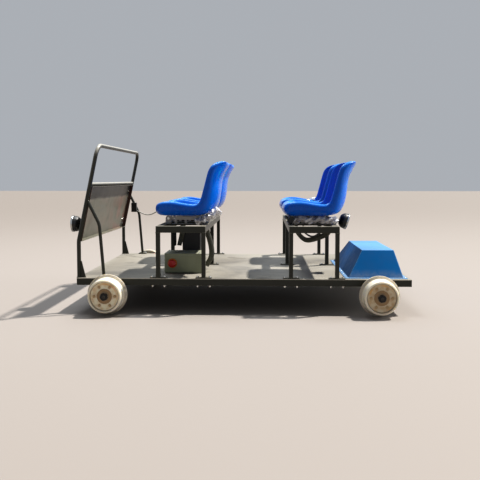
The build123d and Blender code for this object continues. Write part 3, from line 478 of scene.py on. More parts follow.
def greasy_nut(nut):
    distance = round_the_axle(nut)[0]
    shade = nut.layers(
        (0.022, 0.020, 0.018),
        (distance.above(nut_corner, 0.0015), (0.33, 0.24, 0.15)),
        (distance.near(0.0040, 0.0070) * 0.8, (0.40, 0.36, 0.30)))
    nut.feed(Base_Color=shade, Roughness=0.45 + nut.noise(90, 4) * 0.2)


keep("nut_steel", greasy_nut, Specular_IOR_Level=0.5, Metallic=0.35)

# %% [markdown]
# ## Small painted and moulded pieces
# The rest share one recipe. Powder coat and light enamel have an orange peel, pale worn edges and
# dust on top. Black plastics and castings are matt, and get their life from roughness alone. The
# ring behind the stop button has the slot of its usual yellow, and is as orange as in the photograph.

# %% Coated metal and dull plastic
def coated(coat, colour, edge, dust_colour, roughness, peel, wear, dust_share):
    soft_edges = coat.rounded(0.0025)
    edge_wear_and_highlight = coat.edges(soft_edges) * coat.noise(70, 5).above(0.40, 0.2)
    streaks = coat.noise(1.0, 5, 0.65, where=coat.place(stretch=(26.0, 26.0, 5.0)))
    dust = coat.facing("Z").above(0.6, 0.3) * coat.noise(14, 6, 0.7).above(0.38, 0.3)
    shade = coat.layers(
        coat.mix(streaks, colour, tuple(0.78 * c for c in colour)),
        (edge_wear_and_highlight * wear, edge), (dust * dust_share, dust_colour))
    height = coat.noise(520, 2) * 0.7 + coat.noise(60, 3) * 0.3
    coat.feed(Base_Color=shade, Roughness=roughness + dust * 0.25 + streaks * 0.08,
              Normal=coat.bump(height, peel, 0.6, soft_edges))


dusty = (0.33, 0.30, 0.25)
coated_parts = [
    # name, colour, worn edge, dust, roughness, peel in metres, wear, dust share
    ("slide_steel", (0.46, 0.445, 0.42), (0.55, 0.53, 0.47), dusty, 0.36, 0.0002, 0.7, 0.25),
    ("box_paint", (0.290, 0.315, 0.215), (0.42, 0.46, 0.38), dusty, 0.42, 0.0006, 0.6, 0.45),
    ("bearing_iron", (0.075, 0.080, 0.078), (0.15, 0.14, 0.12), (0.12, 0.09, 0.06), 0.60, 0.0012, 0.5, 0.5),
    ("motor_grey", (0.16, 0.17, 0.18), (0.30, 0.30, 0.30), dusty, 0.50, 0.0010, 0.4, 0.3),
    ("lamp_black", (0.009, 0.009, 0.010), (0.05, 0.05, 0.05), dusty, 0.24, 0.0003, 0.4, 0.10),
    ("battery_black", (0.011, 0.011, 0.012), (0.05, 0.05, 0.05), dusty, 0.46, 0.0006, 0.5, 0.20),
    ("button_red", (0.52, 0.008, 0.006), (0.65, 0.10, 0.06), dusty, 0.22, 0.0001, 0.3, 0.05),
    ("ring_yellow", (0.62, 0.14, 0.008), (0.80, 0.30, 0.04), dusty, 0.45, 0.0002, 0.3, 0.20),
    ("cable_grey", (0.40, 0.39, 0.355), (0.40, 0.39, 0.355), dusty, 0.48, 0.0002, 0.0, 0.30),
]
for name, *how in coated_parts:
    keep(name, coated, *how, Specular_IOR_Level=0.5)

# %% [markdown]
# ## The motor cover
# Folded sheet in a deep blue satin. The bent edges are painted pale blue as painted highlights and
# the top as painted sunlight, and rain has drawn faint streaks down its leaning sides and left dust
# at the foot. The streaks are one noise stretched a long way upwards.

# %% Satin blue cover
foot_height = 0.245


def satin_cover(cover):
    soft_edges = cover.rounded(0.004)
    # painted highlight: the bent edges are painted pale blue
    edge_wear_and_highlight = cover.edges(soft_edges) * cover.noise(50, 5).above(0.36, 0.2)
    streaks = cover.noise(1.0, 5, 0.6, where=cover.place(stretch=(30.0, 30.0, 2.5))).above(0.50, 0.2)
    foot = 1 - cover.axis(cover.place(), "Z").above(foot_height, 0.035)
    shade = cover.layers(
        cover.mix(cover.noise(4, 3), (0.001, 0.092, 0.268), (0.001, 0.114, 0.320)),
        (streaks * 0.22, (0.006, 0.080, 0.220)),
        # painted sunlight: the top is painted paler
        (cover.facing("Z").above(0.85, 0.1) * 0.55, (0.20, 0.42, 0.72)),
        (edge_wear_and_highlight * 0.75, (0.42, 0.72, 0.95)),
        (foot * cover.noise(24, 6, 0.7).above(0.45, 0.2) * 0.45, (0.25, 0.26, 0.26)))
    dents = cover.noise(7, 2) * 0.9 + cover.noise(380, 2) * 0.04
    cover.feed(Base_Color=shade, Roughness=0.38 + streaks * 0.12 + foot * 0.2,
               Normal=cover.bump(dents, 0.004, 0.4, soft_edges))


keep("cover_blue", satin_cover, Specular_IOR_Level=0.08)

# %% [markdown]
# ## Fluted headlamp glass
# The glass sits over a shallow seat, so the fluting does the work of the reflector behind it:
# upright flutes crossed by a few broad prisms, in a silvery base under a clear coat.

# %% Lamp glass
def fluted_glass(glass):
    point = glass.place()
    flutes = abs(glass.axis(point, "Y").wave("SINE", 520))
    prisms = abs(glass.axis(point, "Z").wave("SINE", 150))
    shade = glass.mix(flutes * 0.6 + prisms * 0.4, (0.36, 0.37, 0.38), (0.70, 0.72, 0.74))
    glass.feed(Base_Color=shade, Roughness=0.10 + glass.noise(40, 4) * 0.12,
               Normal=glass.bump(flutes * 0.7 + prisms * 0.3, 0.0012, 0.8))


keep("lamp_glass", fluted_glass, Metallic=0.55, Coat_Weight=1.0, Coat_Roughness=0.03, Coat_IOR=1.5)

# %% [markdown]
# ## Woven webbing
# Seat belt webbing is a ribbed twill. The weave follows the belt and not the world, so each belt
# carries an attribute with the distance along it and across it in metres, and the pattern reads
# that. Two crossed waves, shifted against each other, give the small diagonal ribs.

# %% Webbing
def webbing(weave, colour, edge):
    belt_place = weave.node("ShaderNodeAttribute", {"attribute_name": "belt_place"}, {}, "Vector")
    length, across = weave.axis(belt_place, "X"), weave.axis(belt_place, "Y")
    border = abs(across).above(0.0160, 0.001)
    ribs = (length + across).wave("SINE", 2600)
    threads = across.wave("SINE", 3800)
    twill = (ribs * 0.3 + threads * 0.2 + 0.5) * (1 - border * 0.4)
    faded = border * 0.5 + weave.noise(30, 5).above(0.55, 0.15) * 0.3
    shade = weave.mix(faded, weave.mix(twill, tuple(0.5 * c for c in colour), colour), edge)
    weave.feed(Base_Color=shade, Roughness=0.75, Normal=weave.bump(twill, 0.0009, 0.9))


for name, *how in [("webbing_black", (0.030, 0.030, 0.030), (0.075, 0.072, 0.062)),
                   ("webbing_olive", (0.115, 0.115, 0.085), (0.17, 0.165, 0.13))]:
    keep(name, webbing, *how, Specular_IOR_Level=0.3, Sheen_Weight=0.25, Sheen_Roughness=0.5)

# %% [markdown]
# ## Every CAD node gets its finish
# A CAD node keeps its mesh, and only the material in its slot is exchanged.

# %% Dress the solids
for part in frame["record"]["subparts"]:
    for material_slot in nodes[part["node"]].material_slots:
        material_slot.material = finishes[part["material_slot"]]

# %% [markdown]
# ## Surfaces as grids of numbers
# Every added piece is a surface worked out with arrays: a profile turned round an axis, or a
# profile carried along a path. The points are stored row by row, and each row closes to a ring, so
# one helper can number the corners of all the faces. The ends of each shape shrink to a point, and
# merging the points that fall together there closes the shape.

# %% From arrays to a piece
MM = 0.001


def grid_quads(rows, columns):
    """Four corner numbers for each cell of a grid whose points are stored row by row. A cell joins a
    point with its right neighbour and with the two below them, and the last column with the first."""
    row, column = np.meshgrid(np.arange(rows - 1), np.arange(columns), indexing="ij")
    here, right = row * columns + column, row * columns + (column + 1) % columns
    return np.stack((here, right, right + columns, here + columns), axis=-1).reshape(-1, 4)


def join_shapes(*shapes):
    """Several (points, quads) pairs as one."""
    starts = np.cumsum([0] + [len(points) for points, quads in shapes[:-1]])
    return (np.concatenate([points for points, quads in shapes]),
            np.concatenate([quads + start for (points, quads), start in zip(shapes, starts)]))


def make_piece(name, shape, slot_name, finish=None, body="chassis", stands_for=(), sharp=38,
               place_attribute=None):
    """A piece whose mesh is a (points, quads) pair, with its doubles merged and its faces outwards."""
    points, quads = shape
    mesh = bpy.data.meshes.new(name)
    mesh.from_pydata(points.tolist(), [], quads.tolist())
    if place_attribute is not None:
        places = mesh.attributes.new("belt_place", "FLOAT_VECTOR", "POINT")
        places.data.foreach_set("vector", place_attribute.ravel())
    working = bmesh.new()
    working.from_mesh(mesh)
    bmesh.ops.remove_doubles(working, verts=working.verts, dist=1e-6)
    bmesh.ops.recalc_face_normals(working, faces=working.faces)
    working.to_mesh(mesh)
    working.free()
    mesh.shade_smooth()
    mesh.set_sharp_from_angle(angle=math.radians(sharp))
    mesh.materials.append(finishes[finish or slot_name])
    made = bpy.data.objects.new(name, mesh)
    scene.collection.objects.link(made)
    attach(made, body)
    if stands_for:
        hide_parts(*stands_for)
    print(name, len(mesh.polygons), "faces")
    return made


print("grid and piece helpers ready")

# %% Paths
def unit(vectors):
    """Each vector divided by its own length."""
    return vectors / np.linalg.norm(vectors, axis=-1, keepdims=True)


def walked_along(path):
    """How far each point lies from the first along the path: the running sum of the steps' lengths."""
    return np.concatenate([[0], np.cumsum(np.linalg.norm(np.diff(path, axis=0), axis=1))])


def spline_basis(per_span):
    """The shares of four control points at even steps along one span of a uniform cubic B-spline."""
    t = np.linspace(0, 1, per_span, endpoint=False)
    return np.stack([(1 - t) ** 3, 3 * t ** 3 - 6 * t ** 2 + 4, -3 * t ** 3 + 3 * t ** 2 + 3 * t + 1,
                     t ** 3], 1) / 6


def soft_path(corners, per_span=8):
    """An even cubic B-spline that starts and ends at the first and last corner and rounds the rest."""
    corners = np.array(corners, dtype=float)
    padded = np.concatenate([corners[:1], corners[:1], corners, corners[-1:], corners[-1:]])
    windows = np.lib.stride_tricks.sliding_window_view(padded, 4, axis=0)
    spans = np.einsum("tb,mcb->mtc", spline_basis(per_span), windows)
    return np.concatenate([spans.reshape(-1, 3), corners[-1:]])


def loop_round(reach, count, normal=2, closed=True):
    """Points round a circle, or round any loop whose reach is given for each angle. normal is the
    number of the axis that the loop goes round."""
    angle = np.linspace(0, 2 * np.pi, count, endpoint=closed)
    loop = np.stack([np.cos(angle), np.sin(angle)], axis=1) * np.reshape(reach, (-1, 1))
    return np.insert(loop, normal, 0.0, axis=1)


print("a path's length in a test:", walked_along(soft_path([(0, 0, 0), (1, 0, 0), (1, 1, 0)]))[-1].round(3))

# %% Turned, carried and repeated shapes
def turned(profile, around=24):
    """A profile of (radius, height, six-sidedness) in millimetres turned round Z. Where six-sidedness
    is 1 the radius is half the width across flats of a hexagon, and grows by 1 / cos to its corners."""
    radius, height, six_sided = np.array(profile, dtype=float).T[:, :, None]
    angle = np.linspace(0, 2 * np.pi, around, endpoint=False)[None, :]
    corner = 1 / np.cos((angle % (np.pi / 3)) - np.pi / 6)
    reach = radius * (1 + six_sided * (corner - 1))
    points = np.stack([reach * np.cos(angle), reach * np.sin(angle), height + 0 * angle], axis=-1)
    return points.reshape(-1, 3) * MM, grid_quads(len(profile), around)


def copies(shape, places, facing, spin=0.0):
    """A small shape repeated at many places, with its Z axis turned to each copy's facing direction."""
    points, quads = shape
    places = np.atleast_2d(np.array(places, dtype=float))
    facing = unit(np.broadcast_to(np.array(facing, dtype=float), places.shape))
    helper = np.where(np.abs(facing[:, 2:]) > 0.9, (1.0, 0.0, 0.0), (0.0, 0.0, 1.0))
    side = unit(np.cross(helper, facing))
    up = np.cross(facing, side)
    spin = np.broadcast_to(np.asarray(spin, dtype=float), (len(places),))[:, None]
    axes = np.stack([side * np.cos(spin) + up * np.sin(spin), up * np.cos(spin) - side * np.sin(spin),
                     facing], axis=1)
    moved = np.einsum("pk,nkc->npc", points, axes) + places[:, None]
    numbered = quads[None] + (np.arange(len(places)) * len(points))[:, None, None]
    return moved.reshape(-1, 3), numbered.reshape(-1, 4)


def carried(profile, path, side):
    """A closed profile of (sideways, outwards) in metres carried along a path, its ends shrunk to a
    point. side is the direction, one or one for each point, that the profile's first number follows."""
    path = np.asarray(path, dtype=float)
    tangent = unit(np.gradient(path, axis=0))
    outwards = unit(np.cross(tangent, np.broadcast_to(side, path.shape)))
    sideways = np.cross(outwards, tangent)
    profile = np.broadcast_to(profile, (len(path),) + np.shape(profile)[-2:])
    rings = path[:, None] + profile[..., :1] * sideways[:, None] + profile[..., 1:] * outwards[:, None]
    ends = np.repeat(path[[0, -1], None], rings.shape[1], axis=1)
    points = np.concatenate([ends[:1], rings, ends[1:]])
    return points.reshape(-1, 3), grid_quads(len(points), rings.shape[1])


def rounded_block(size, centre=(0.0, 0.0, 0.0), roundness=0.28, around=24):
    """A box of the given size in millimetres with soft edges. Each coordinate is the power, with its
    sign kept, of a sine or cosine of two angles: a power of 1 gives an egg, and of 0 a sharp box."""
    def soft(wave):
        return np.sign(wave) * np.abs(wave) ** roundness

    up, turn = np.meshgrid(np.linspace(-np.pi / 2, np.pi / 2, around // 2 + 1),
                           np.linspace(0, 2 * np.pi, around, endpoint=False), indexing="ij")
    points = np.stack([soft(np.cos(up)) * soft(np.cos(turn)), soft(np.cos(up)) * soft(np.sin(turn)),
                       soft(np.sin(up))], -1)
    points = points * np.array(size) / 2 + centre
    return points.reshape(-1, 3) * MM, grid_quads(around // 2 + 1, around)


print("turned, carried, repeated and rounded shapes ready")

# %% [markdown]
# ## The bucket seats
# A pressed plastic seat has no sharp edge anywhere. Its wall rises from the pan, rolls over and
# comes down again as a skirt, and the back turns into the sides with a radius as wide as a hand. A
# box with bevels never looks like that, and a sculpted mesh is hard to hold to its sizes. Here the
# seat is a net of control points: a row of stations from the lip to the top of the back, each with
# the same section. A B-spline through the net in both directions rounds everything at once.

# %% A B-spline surface from a net
def spline_weights(count, per_span, closed):
    """One row for each sample: how much each of count control points weighs in a cubic B-spline. An
    open line repeats its end points, so it starts and ends on them."""
    spans = np.arange(count) if closed else np.arange(count + 1)
    near = spans[:, None] + np.arange(4) - (1 if closed else 2)
    near = near % count if closed else np.clip(near, 0, count - 1)
    rows = np.einsum("tk,skc->stc", spline_basis(per_span), np.eye(count)[near]).reshape(-1, count)
    return rows if closed else np.concatenate([rows, np.eye(count)[-1:]])


def net_surface(net, per_station, per_point):
    """Points of the surface over a net of (station, point of the section, x y z), whose sections close."""
    along = spline_weights(net.shape[0], per_station, closed=False)
    around = spline_weights(net.shape[1], per_point, closed=True)
    points = np.einsum("ai,bj,ijc->abc", along, around, net)
    return points.reshape(-1, 3), grid_quads(len(along), len(around))


print("weights of a closed line of 6:", spline_weights(6, 1, True)[0].round(2))

# %% The seat's stations and sections
lip_reach = 150
seat_half_width = 220
seat_bow = 14
back_from, back_over = 10, 3
seat_stations = np.array([
    # millimetres: rim of the wall (x, z), outer edge (x, z), middle of what is sat on (x, z), half width
    (1, 30, 1, 24, 0, 27, 142), (2, 42, 2, 12, 0, 36, 160),
    (7, 54, 9, 0, 5, 50, 182), (20, 64, 24, -10, 16, 62, 202),
    (44, 73, 50, -14, 38, 70, 215), (78, 79, 84, -14, 72, 66, 220),
    (114, 81, 118, -14, 106, 50, 220), (150, 77, 150, -14, 146, 36, 220),
    (190, 70, 190, -14, 190, 32, 220), (232, 63, 236, -14, 234, 32, 220),
    (268, 60, 286, -13, 276, 32, 220), (294, 68, 340, -10, 322, 33, 220),
    (306, 92, 382, 8, 362, 42, 220), (314, 124, 406, 50, 386, 72, 220),
    (325, 164, 419, 104, 399, 118, 220), (336, 206, 424, 150, 407, 160, 220),
    (346, 246, 428, 196, 413, 204, 220), (357, 284, 438, 240, 424, 246, 218),
    (376, 314, 454, 274, 440, 280, 211), (410, 333, 470, 300, 458, 308, 196),
    (444, 339, 481, 316, 470, 328, 176), (462, 337, 477, 328, 470, 333, 160),
    (468, 333, 472, 331, 470, 332, 150),
])
pan_section = np.array([
    # share of half the width, inset from it in millimetres, then the shares of middle, rim and outer edge
    (0.00, 0, 1.00, 0.00, 0.00), (0.32, 0, 1.00, 0.00, 0.00), (0.58, 0, 1.00, 0.00, 0.00),
    (0.74, 0, 0.97, 0.03, 0.00), (1.00, 40, 0.78, 0.22, 0.00), (1.00, 31, 0.26, 0.74, 0.00),
    (1.00, 22, 0.00, 1.03, -0.03), (1.00, 8, 0.00, 0.96, 0.04), (1.00, 0, 0.00, 0.78, 0.22),
    (1.00, 1, 0.00, 0.58, 0.42), (1.00, 6, 0.00, 0.34, 0.66), (1.00, 20, 0.00, 0.14, 0.86),
    (1.00, 48, 0.00, 0.01, 0.99), (1.00, 92, 0.00, -0.02, 1.02), (0.30, 0, 0.04, 0.00, 0.96),
    (0.00, 0, 0.05, 0.00, 0.95),
])
back_section = pan_section.copy()
back_section[8:] = [
    # the back is crowned: it leaves the side at half its depth
    (1.00, 0, 0.00, 0.80, 0.20), (1.00, 2, 0.00, 0.66, 0.34), (1.00, 12, 0.00, 0.52, 0.48),
    (1.00, 30, 0.00, 0.37, 0.63), (1.00, 56, 0.00, 0.22, 0.78), (1.00, 90, 0.00, 0.09, 0.91),
    (0.30, 0, 0.00, -0.01, 1.01), (0.00, 0, 0.00, -0.01, 1.01),
]
print("stations", len(seat_stations), "points of half a section", len(pan_section))

# %% The seat's net
def seat_net():
    """Each station's section: its points lie between the middle, the rim and the outer edge by fixed
    shares, and half the width less an inset gives the way out. The stations of the back blend to the
    crowned section. The lip's ends lie behind its middle by a parabola that fades away behind it."""
    places = seat_stations[:, :6].reshape(-1, 3, 2)[:, [2, 0, 1]]
    back_share = np.clip((np.arange(len(seat_stations)) - back_from) / back_over, 0, 1)
    section = pan_section + back_share[:, None, None] * (back_section - pan_section)
    upright = np.einsum("spk,skc->spc", section[..., 2:], places)
    sideways = section[..., 0] * (seat_stations[:, 6:] - section[..., 1])
    half = np.stack([upright[..., 0], sideways, upright[..., 1]], axis=-1)
    net = np.concatenate([half, half[:, -2:0:-1] * (1, -1, 1)], axis=1)
    lip_share = np.clip(1 - net[..., 0] / lip_reach, 0, 1) ** 2
    net[..., 0] += seat_bow * (net[..., 1] / seat_half_width) ** 2 * lip_share
    return net * MM


seat_shape = net_surface(seat_net(), 4, 4)
low, high = seat_shape[0].min(axis=0), seat_shape[0].max(axis=0)
print("seat from", low.round(4), "to", high.round(4), "with", len(seat_shape[1]), "faces")

# %% Four seats
boss_depth = 22 * MM
seat_boss = rounded_block((110, 120, 50), (203, 0, 3), 0.16)
for row in ("front", "rear"):
    for side in ("near", "far"):
        node_name = f"{row}_seat_{side}"
        cad_low, cad_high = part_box(node_name)
        seat_place = (cad_low.x, (cad_low.y + cad_high.y) / 2, cad_low.z + boss_depth)
        points, quads = join_shapes(seat_shape, seat_boss)
        make_piece(f"{node_name}_moulding", (points + seat_place, quads), "seat_plastic", sharp=70,
                   stands_for=(node_name,))

# %% [markdown]
# ## Bolts
# Bolts are what holds the trolley together, and their bright heads are the first thing an eye
# finds on dull paint. One bolt is a profile turned round its axis: a round washer, then a head that
# is six-sided at its foot and round where its top is chamfered. The same shape is then copied to
# every place on the trolley as one joined mesh.

# %% Where things are, in metres
sides = (-1, 1)
deck_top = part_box("deck_plate")[1].z
beam_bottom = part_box("side_beams")[0].z
foot_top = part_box("stand_feet")[1].z
stand_xs = np.array([-0.388, 0.444])
leg_reach = 0.143
leg_xs = (stand_xs[:, None] + (-leg_reach, leg_reach)).ravel()
handrail_x, handrail_y = -1.036, 0.625
brace_foot_x = -0.878
print("legs at", leg_xs.round(3))

# %% Bolt shapes
hex_bolt = turned([
    # radius, height, six-sidedness
    (0, 0, 0), (8.5, 0, 0), (8.5, 1.6, 0), (6.6, 1.6, 1), (6.6, 5.6, 1), (6.5, 6.8, 0.1), (0, 7.0, 0)], 12)
bolt_end = turned([
    (0, 0, 0), (9, 0, 0), (9, 1.8, 0), (7, 1.8, 1), (7, 8, 1), (6.6, 8.6, 0.2), (4, 8.6, 0),
    (4, 13.5, 0), (3.2, 14.2, 0), (0, 14.2, 0)], 12)
screw = turned([(0, 0, 0), (5.2, 0, 0), (5.2, 0.8, 0), (4.4, 2.2, 0), (2.6, 3.1, 0), (0, 3.3, 0)], 12)
print("a bolt's head has", len(hex_bolt[1]), "faces")

# %% Foot bolts, and their ends under the beams
foot_bolt_reach = 0.038
foot_bolt_ys = np.array([-0.630, 0.0, 0.630])
foot_xs = (leg_xs[:, None] + (-foot_bolt_reach, foot_bolt_reach)).ravel()
foot_places = np.array([(x, y, foot_top) for x in foot_xs for y in foot_bolt_ys])
over_beams = foot_places[:, 1] != 0
under_places = foot_places[over_beams] * (1, 1, 0) + (0, 0, beam_bottom)
turns = np.linspace(0, 9, len(foot_places))
make_piece("foot_bolts", join_shapes(copies(hex_bolt, foot_places, (0, 0, 1), turns),
                                     copies(bolt_end, under_places, (0, 0, -1), turns[:len(under_places)])),
           "axle_steel", "bolt_zinc")

# %% Bearing, brace and panel bolts
bearing_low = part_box("axle_hangers")[0].z - 0.014
bearing_bolt_y, bearing_bolt_reach = 0.630, 0.066
bearing_bolts = [(end * (axle_reach + reach), side * bearing_bolt_y, bearing_low)
                 for end in (-1, 1) for side in sides for reach in (-bearing_bolt_reach, bearing_bolt_reach)]
brace_bolt_y, brace_bolt_reach = 0.632, 0.022
brace_bolts = [(brace_foot_x + reach, side * brace_bolt_y, foot_top)
               for side in sides for reach in (-brace_bolt_reach, brace_bolt_reach)]
lean = math.radians(12)
up_the_lean = np.array([math.sin(lean), 0.0, math.cos(lean)])
out_of_panel = np.array([math.cos(lean), 0.0, -math.sin(lean)])
panel_rise, panel_back = 0.230, 0.0095
panel_bolt_ys, panel_bolt_rises = (-0.580, 0.568), (0.030, 0.062, 0.300)
panel_foot = np.array([handrail_x, 0.0, deck_top + panel_rise]) - panel_back * out_of_panel
panel_bolts = [panel_foot + rise * up_the_lean + (0, y, 0)
               for y in panel_bolt_ys for rise in panel_bolt_rises]
make_piece("frame_bolts", join_shapes(copies(bolt_end, bearing_bolts, (0, 0, -1)),
                                      copies(hex_bolt, brace_bolts, (0, 0, 1), 0.3),
                                      copies(hex_bolt, panel_bolts, out_of_panel, 0.6)),
           "axle_steel", "bolt_zinc")

# %% [markdown]
# ## The wheel centres
# Six bolts hold each nylon wheel to its steel hub, and a heavy nut holds the hub on the axle. The
# bolts have rusted and browned the nylon round them. They ride on the wheel sets, so they turn
# with the axles, and the large nut is fitted over the plain nut of the solid axle.

# %% Wheel bolts and axle nuts
wheel_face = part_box("front_wheel_far")[1].y
recess_floor = wheel_face - 0.014
nut_seat = wheel_face - 0.010
wheel_bolt = turned([
    # radius, height, six-sidedness
    (0, 0, 0), (8.6, 0, 0), (8.6, 1.2, 0), (6.3, 1.2, 1), (6.3, 5, 1), (5.8, 6, 0.1), (0, 6.2, 0)], 12)
axle_nut = turned([
    (0, 0, 0), (31, 0, 0), (31, 2.6, 0), (30, 3.2, 0), (22.6, 3.2, 1), (22.6, 15, 1),
    (22, 17, 0.15), (9.2, 17, 0), (8.6, 17.6, 0), (8.6, 20, 0), (8.2, 20.4, 0), (8.6, 20.8, 0),
    (8.6, 22.4, 0), (8.2, 22.8, 0), (8.6, 23.2, 0), (8.6, 25, 0), (7.6, 26.1, 0), (0, 28.05, 0)], 48)
bolt_ring = loop_round(wheel_bolt_circle, wheel_bolt_count, normal=1, closed=False)
for set_name, axle_x in (("front", -axle_reach), ("rear", axle_reach)):
    axle_centre = np.array([axle_x, 0.0, axle_height])
    bolts = [copies(wheel_bolt, bolt_ring + axle_centre + (0, side * recess_floor, 0), (0, side, 0), 0.4)
             for side in sides]
    nuts = [copies(axle_nut, axle_centre + (0, side * nut_seat, 0), (0, side, 0), 0.2) for side in sides]
    body = f"{set_name}_wheelset"
    make_piece(f"{set_name}_wheel_bolts", join_shapes(*bolts), "hub_steel", "bolt_rusty", body)
    make_piece(f"{set_name}_axle_nuts", join_shapes(*nuts), "axle_steel", "nut_steel", body)

# %% [markdown]
# ## Weld beads
# The tubes are welded where they meet. A bead is a small round section carried along the joint,
# and its ripples are a wave in its radius, one for each pause of the torch. Square tube gets a bead
# round its foot, and round tube gets a ring.

# %% A rippled bead along a path
def bead(path, side, size=0.0028, ripple=0.005):
    """A small round section carried along a path, its radius waving by a fifth at each ripple's length."""
    radius = size * (1 + 0.2 * np.sin(2 * np.pi * walked_along(path) / ripple))[:, None, None]
    section = loop_round(1.0, 6, closed=False)[:, :2]
    return carried(radius * section, path, side)


def square_loop(half, count=72):
    """Points round a square of half the given width each way, with its corners cut back a little."""
    angle = np.linspace(0, 2 * np.pi, count)
    reach = half / np.maximum(np.abs(np.cos(angle)), np.abs(np.sin(angle)))
    return loop_round(np.minimum(reach, half * 1.33), count)


print("bead helpers ready")

# %% Beads on the stands and the handrail
leg_half = 0.0125
leg_ys = (-0.6375, 0.0, 0.6375)
stand_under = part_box("stand_rails")[0].z
leg_beads = [bead(square_loop(leg_half) + (x, y, z), (0, 0, 1))
             for x in leg_xs for y in leg_ys for z in (foot_top, stand_under)]
make_piece("stand_welds", join_shapes(*leg_beads), "frame_paint", sharp=80)

tube_low, tube_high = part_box("dash_cross_tube")
tube_middle = (tube_low + tube_high) / 2
ring_welds = [
    # tube's radius, its axis, middle along X, distance from the trolley's middle, height, size of the bead
    (0.0115, 1, tube_middle.x, 0.6145, tube_middle.z, 0.0028),
    (0.0130, 2, handrail_x, handrail_y, deck_top + 0.001, 0.0034),
    (0.0105, 2, brace_foot_x, handrail_y, foot_top + 0.001, 0.0028),
]
rail_beads = [bead(loop_round(radius, 60, normal=axis) + (x, side * out, z), np.eye(3)[axis], size)
              for radius, axis, x, out, z, size in ring_welds for side in sides]
make_piece("handrail_welds", join_shapes(*rail_beads), "frame_paint", sharp=80)

# %% [markdown]
# ## Lamp rims
# Each lamp has a bright pressed rim round its glass, with a rolled outer edge and a bead that
# grips the glass. It is turned about the lamp's own axis, level for the two lamps in front and
# dipped for the one behind the seats.

# %% Bright rims
dip = math.radians(18)
lamp_x, lamp_y = -1.078, 0.430
lamp_backs = [(lamp_x, -lamp_y, deck_top + 0.326), (lamp_x, lamp_y, deck_top + 0.326),
              (0.640, -0.300, deck_top + 0.352)]
lamp_ways = [(-1, 0, 0), (-1, 0, 0), (math.cos(dip), 0, -math.sin(dip))]
rim = turned([
    # radius, height, six-sidedness
    (50.4, 44.5, 0), (53.2, 44.5, 0), (54.2, 46, 0), (54.2, 53.5, 0), (53.4, 55.8, 0),
    (51.4, 56.6, 0), (48.6, 56.2, 0), (46.4, 54.6, 0), (45.6, 52.6, 0), (45.8, 51.4, 0),
    (50.2, 51.4, 0), (50.4, 44.5, 0)], 72)
make_piece("lamp_rims", copies(rim, lamp_backs, lamp_ways), "lamp_black", "rim_chrome")
stem_x, stem_rise = -1.060, 0.331
stem_bolts = [(stem_x, side * lamp_y, deck_top + stem_rise) for side in sides]
make_piece("lamp_bolts", copies(hex_bolt, stem_bolts, (0, 0, 1)), "axle_steel", "bolt_zinc")

# %% [markdown]
# ## The slides' pins
# A bolt through the eye of each lug is the stop of the seat's slide. It shows as a bright spot in
# front of the bar. Small screws hold the bar to its two posts.

# %% Lug bolts and bar screws
stand_half_length, lip_overhang = 0.1555, 0.042
stand_rise, bar_rise, lug_rise = 0.354, 0.022, 0.006
lug_front, lug_radius, lug_half = 0.071, 0.0185, 0.003
bar_front, bar_half, screw_rise = 0.114, 0.007, 0.365
post_places = (0.014, 0.186)
lip_xs = stand_xs - stand_half_length - lip_overhang
bar_ys = [seat + bar for seat in (-0.325, 0.325) for bar in (-0.105, 0.105)]
lug_height = deck_top + stand_rise + bar_rise + lug_rise - lug_radius
lug_bolts = [((x + lug_front + lug_radius, y + side * lug_half, lug_height), (0, side, 0))
             for x in lip_xs for y in bar_ys for side in sides]
bar_screws = [((x + bar_front + reach, y + side * bar_half, deck_top + screw_rise), (0, side, 0))
              for x in lip_xs for y in bar_ys for reach in post_places for side in sides]
make_piece("slide_bolts", join_shapes(copies(hex_bolt, *zip(*lug_bolts), 0.5),
                                      copies(screw, *zip(*bar_screws))), "slide_steel", "bolt_zinc")

# %% [markdown]
# ## Screws on the covers
# Pan head screws hold the motor cover's flange to the deck and the control box's lid to its frame.
# The lid's screws ride with the lid.

# %% Cover and lid screws
flange_inset, flange_end, flange_thickness = 0.010, 0.04, 0.003
cover_low, cover_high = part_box("motor_cover")
flange_ys = np.linspace(cover_low.y + flange_end, cover_high.y - flange_end, 7)
flange_places = [(x, y, deck_top + flange_thickness)
                 for x in (cover_low.x + flange_inset, cover_high.x - flange_inset) for y in flange_ys]
make_piece("cover_screws", copies(screw, flange_places, (0, 0, 1)), "axle_steel", "bolt_zinc")
lid_inset, lid_screw_end = 0.018, 0.182
lid_low, lid_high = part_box("control_box_lid")
lid_places = [(x, y, lid_high.z) for x in (lid_low.x + lid_inset, lid_high.x - lid_inset)
              for y in (lid_low.y + lid_inset, lid_low.y + lid_screw_end)]
make_piece("lid_screws", copies(screw, lid_places, (0, 0, 1)), "box_paint", "bolt_zinc", "control_box_cover")

# %% [markdown]
# ## Belts
# Lengths of lap belt hang below the seats. A belt is a thin flat profile with rounded edges carried
# along a soft path, and it twists as it hangs, so the direction that its width follows turns from
# point to point. Each carries the distance along it and across it for the weave.

# %% A twisting belt
def belt(corners, twist, width=0.038, thickness=0.0022):
    """A flat band along a soft path. twist is the angle of its width from Y, in degrees, at the first
    and last point, and runs evenly between them: the side is Y times its cosine and the way inwards
    times its sine."""
    path = soft_path(corners, 10)
    across = np.array([0.0, 1.0, 0.0])
    inwards = np.cross(unit(np.gradient(path, axis=0)), across)
    angle = np.radians(np.linspace(*twist, len(path)))[:, None]
    half, edge = width / 2, thickness / 2
    profile = np.array([(-half, 0), (-half + edge, -edge), (0, -edge), (half - edge, -edge),
                        (half, 0), (half - edge, edge), (0, edge), (-half + edge, edge)])
    shape = carried(profile, path, across * np.cos(angle) + inwards * np.sin(angle))
    place = np.zeros((len(path) + 2, len(profile), 3))
    place[..., 0] = np.pad(walked_along(path), 1, mode="edge")[:, None]
    place[1:-1, :, 1] = profile[:, 0]
    return shape, place.reshape(-1, 3)


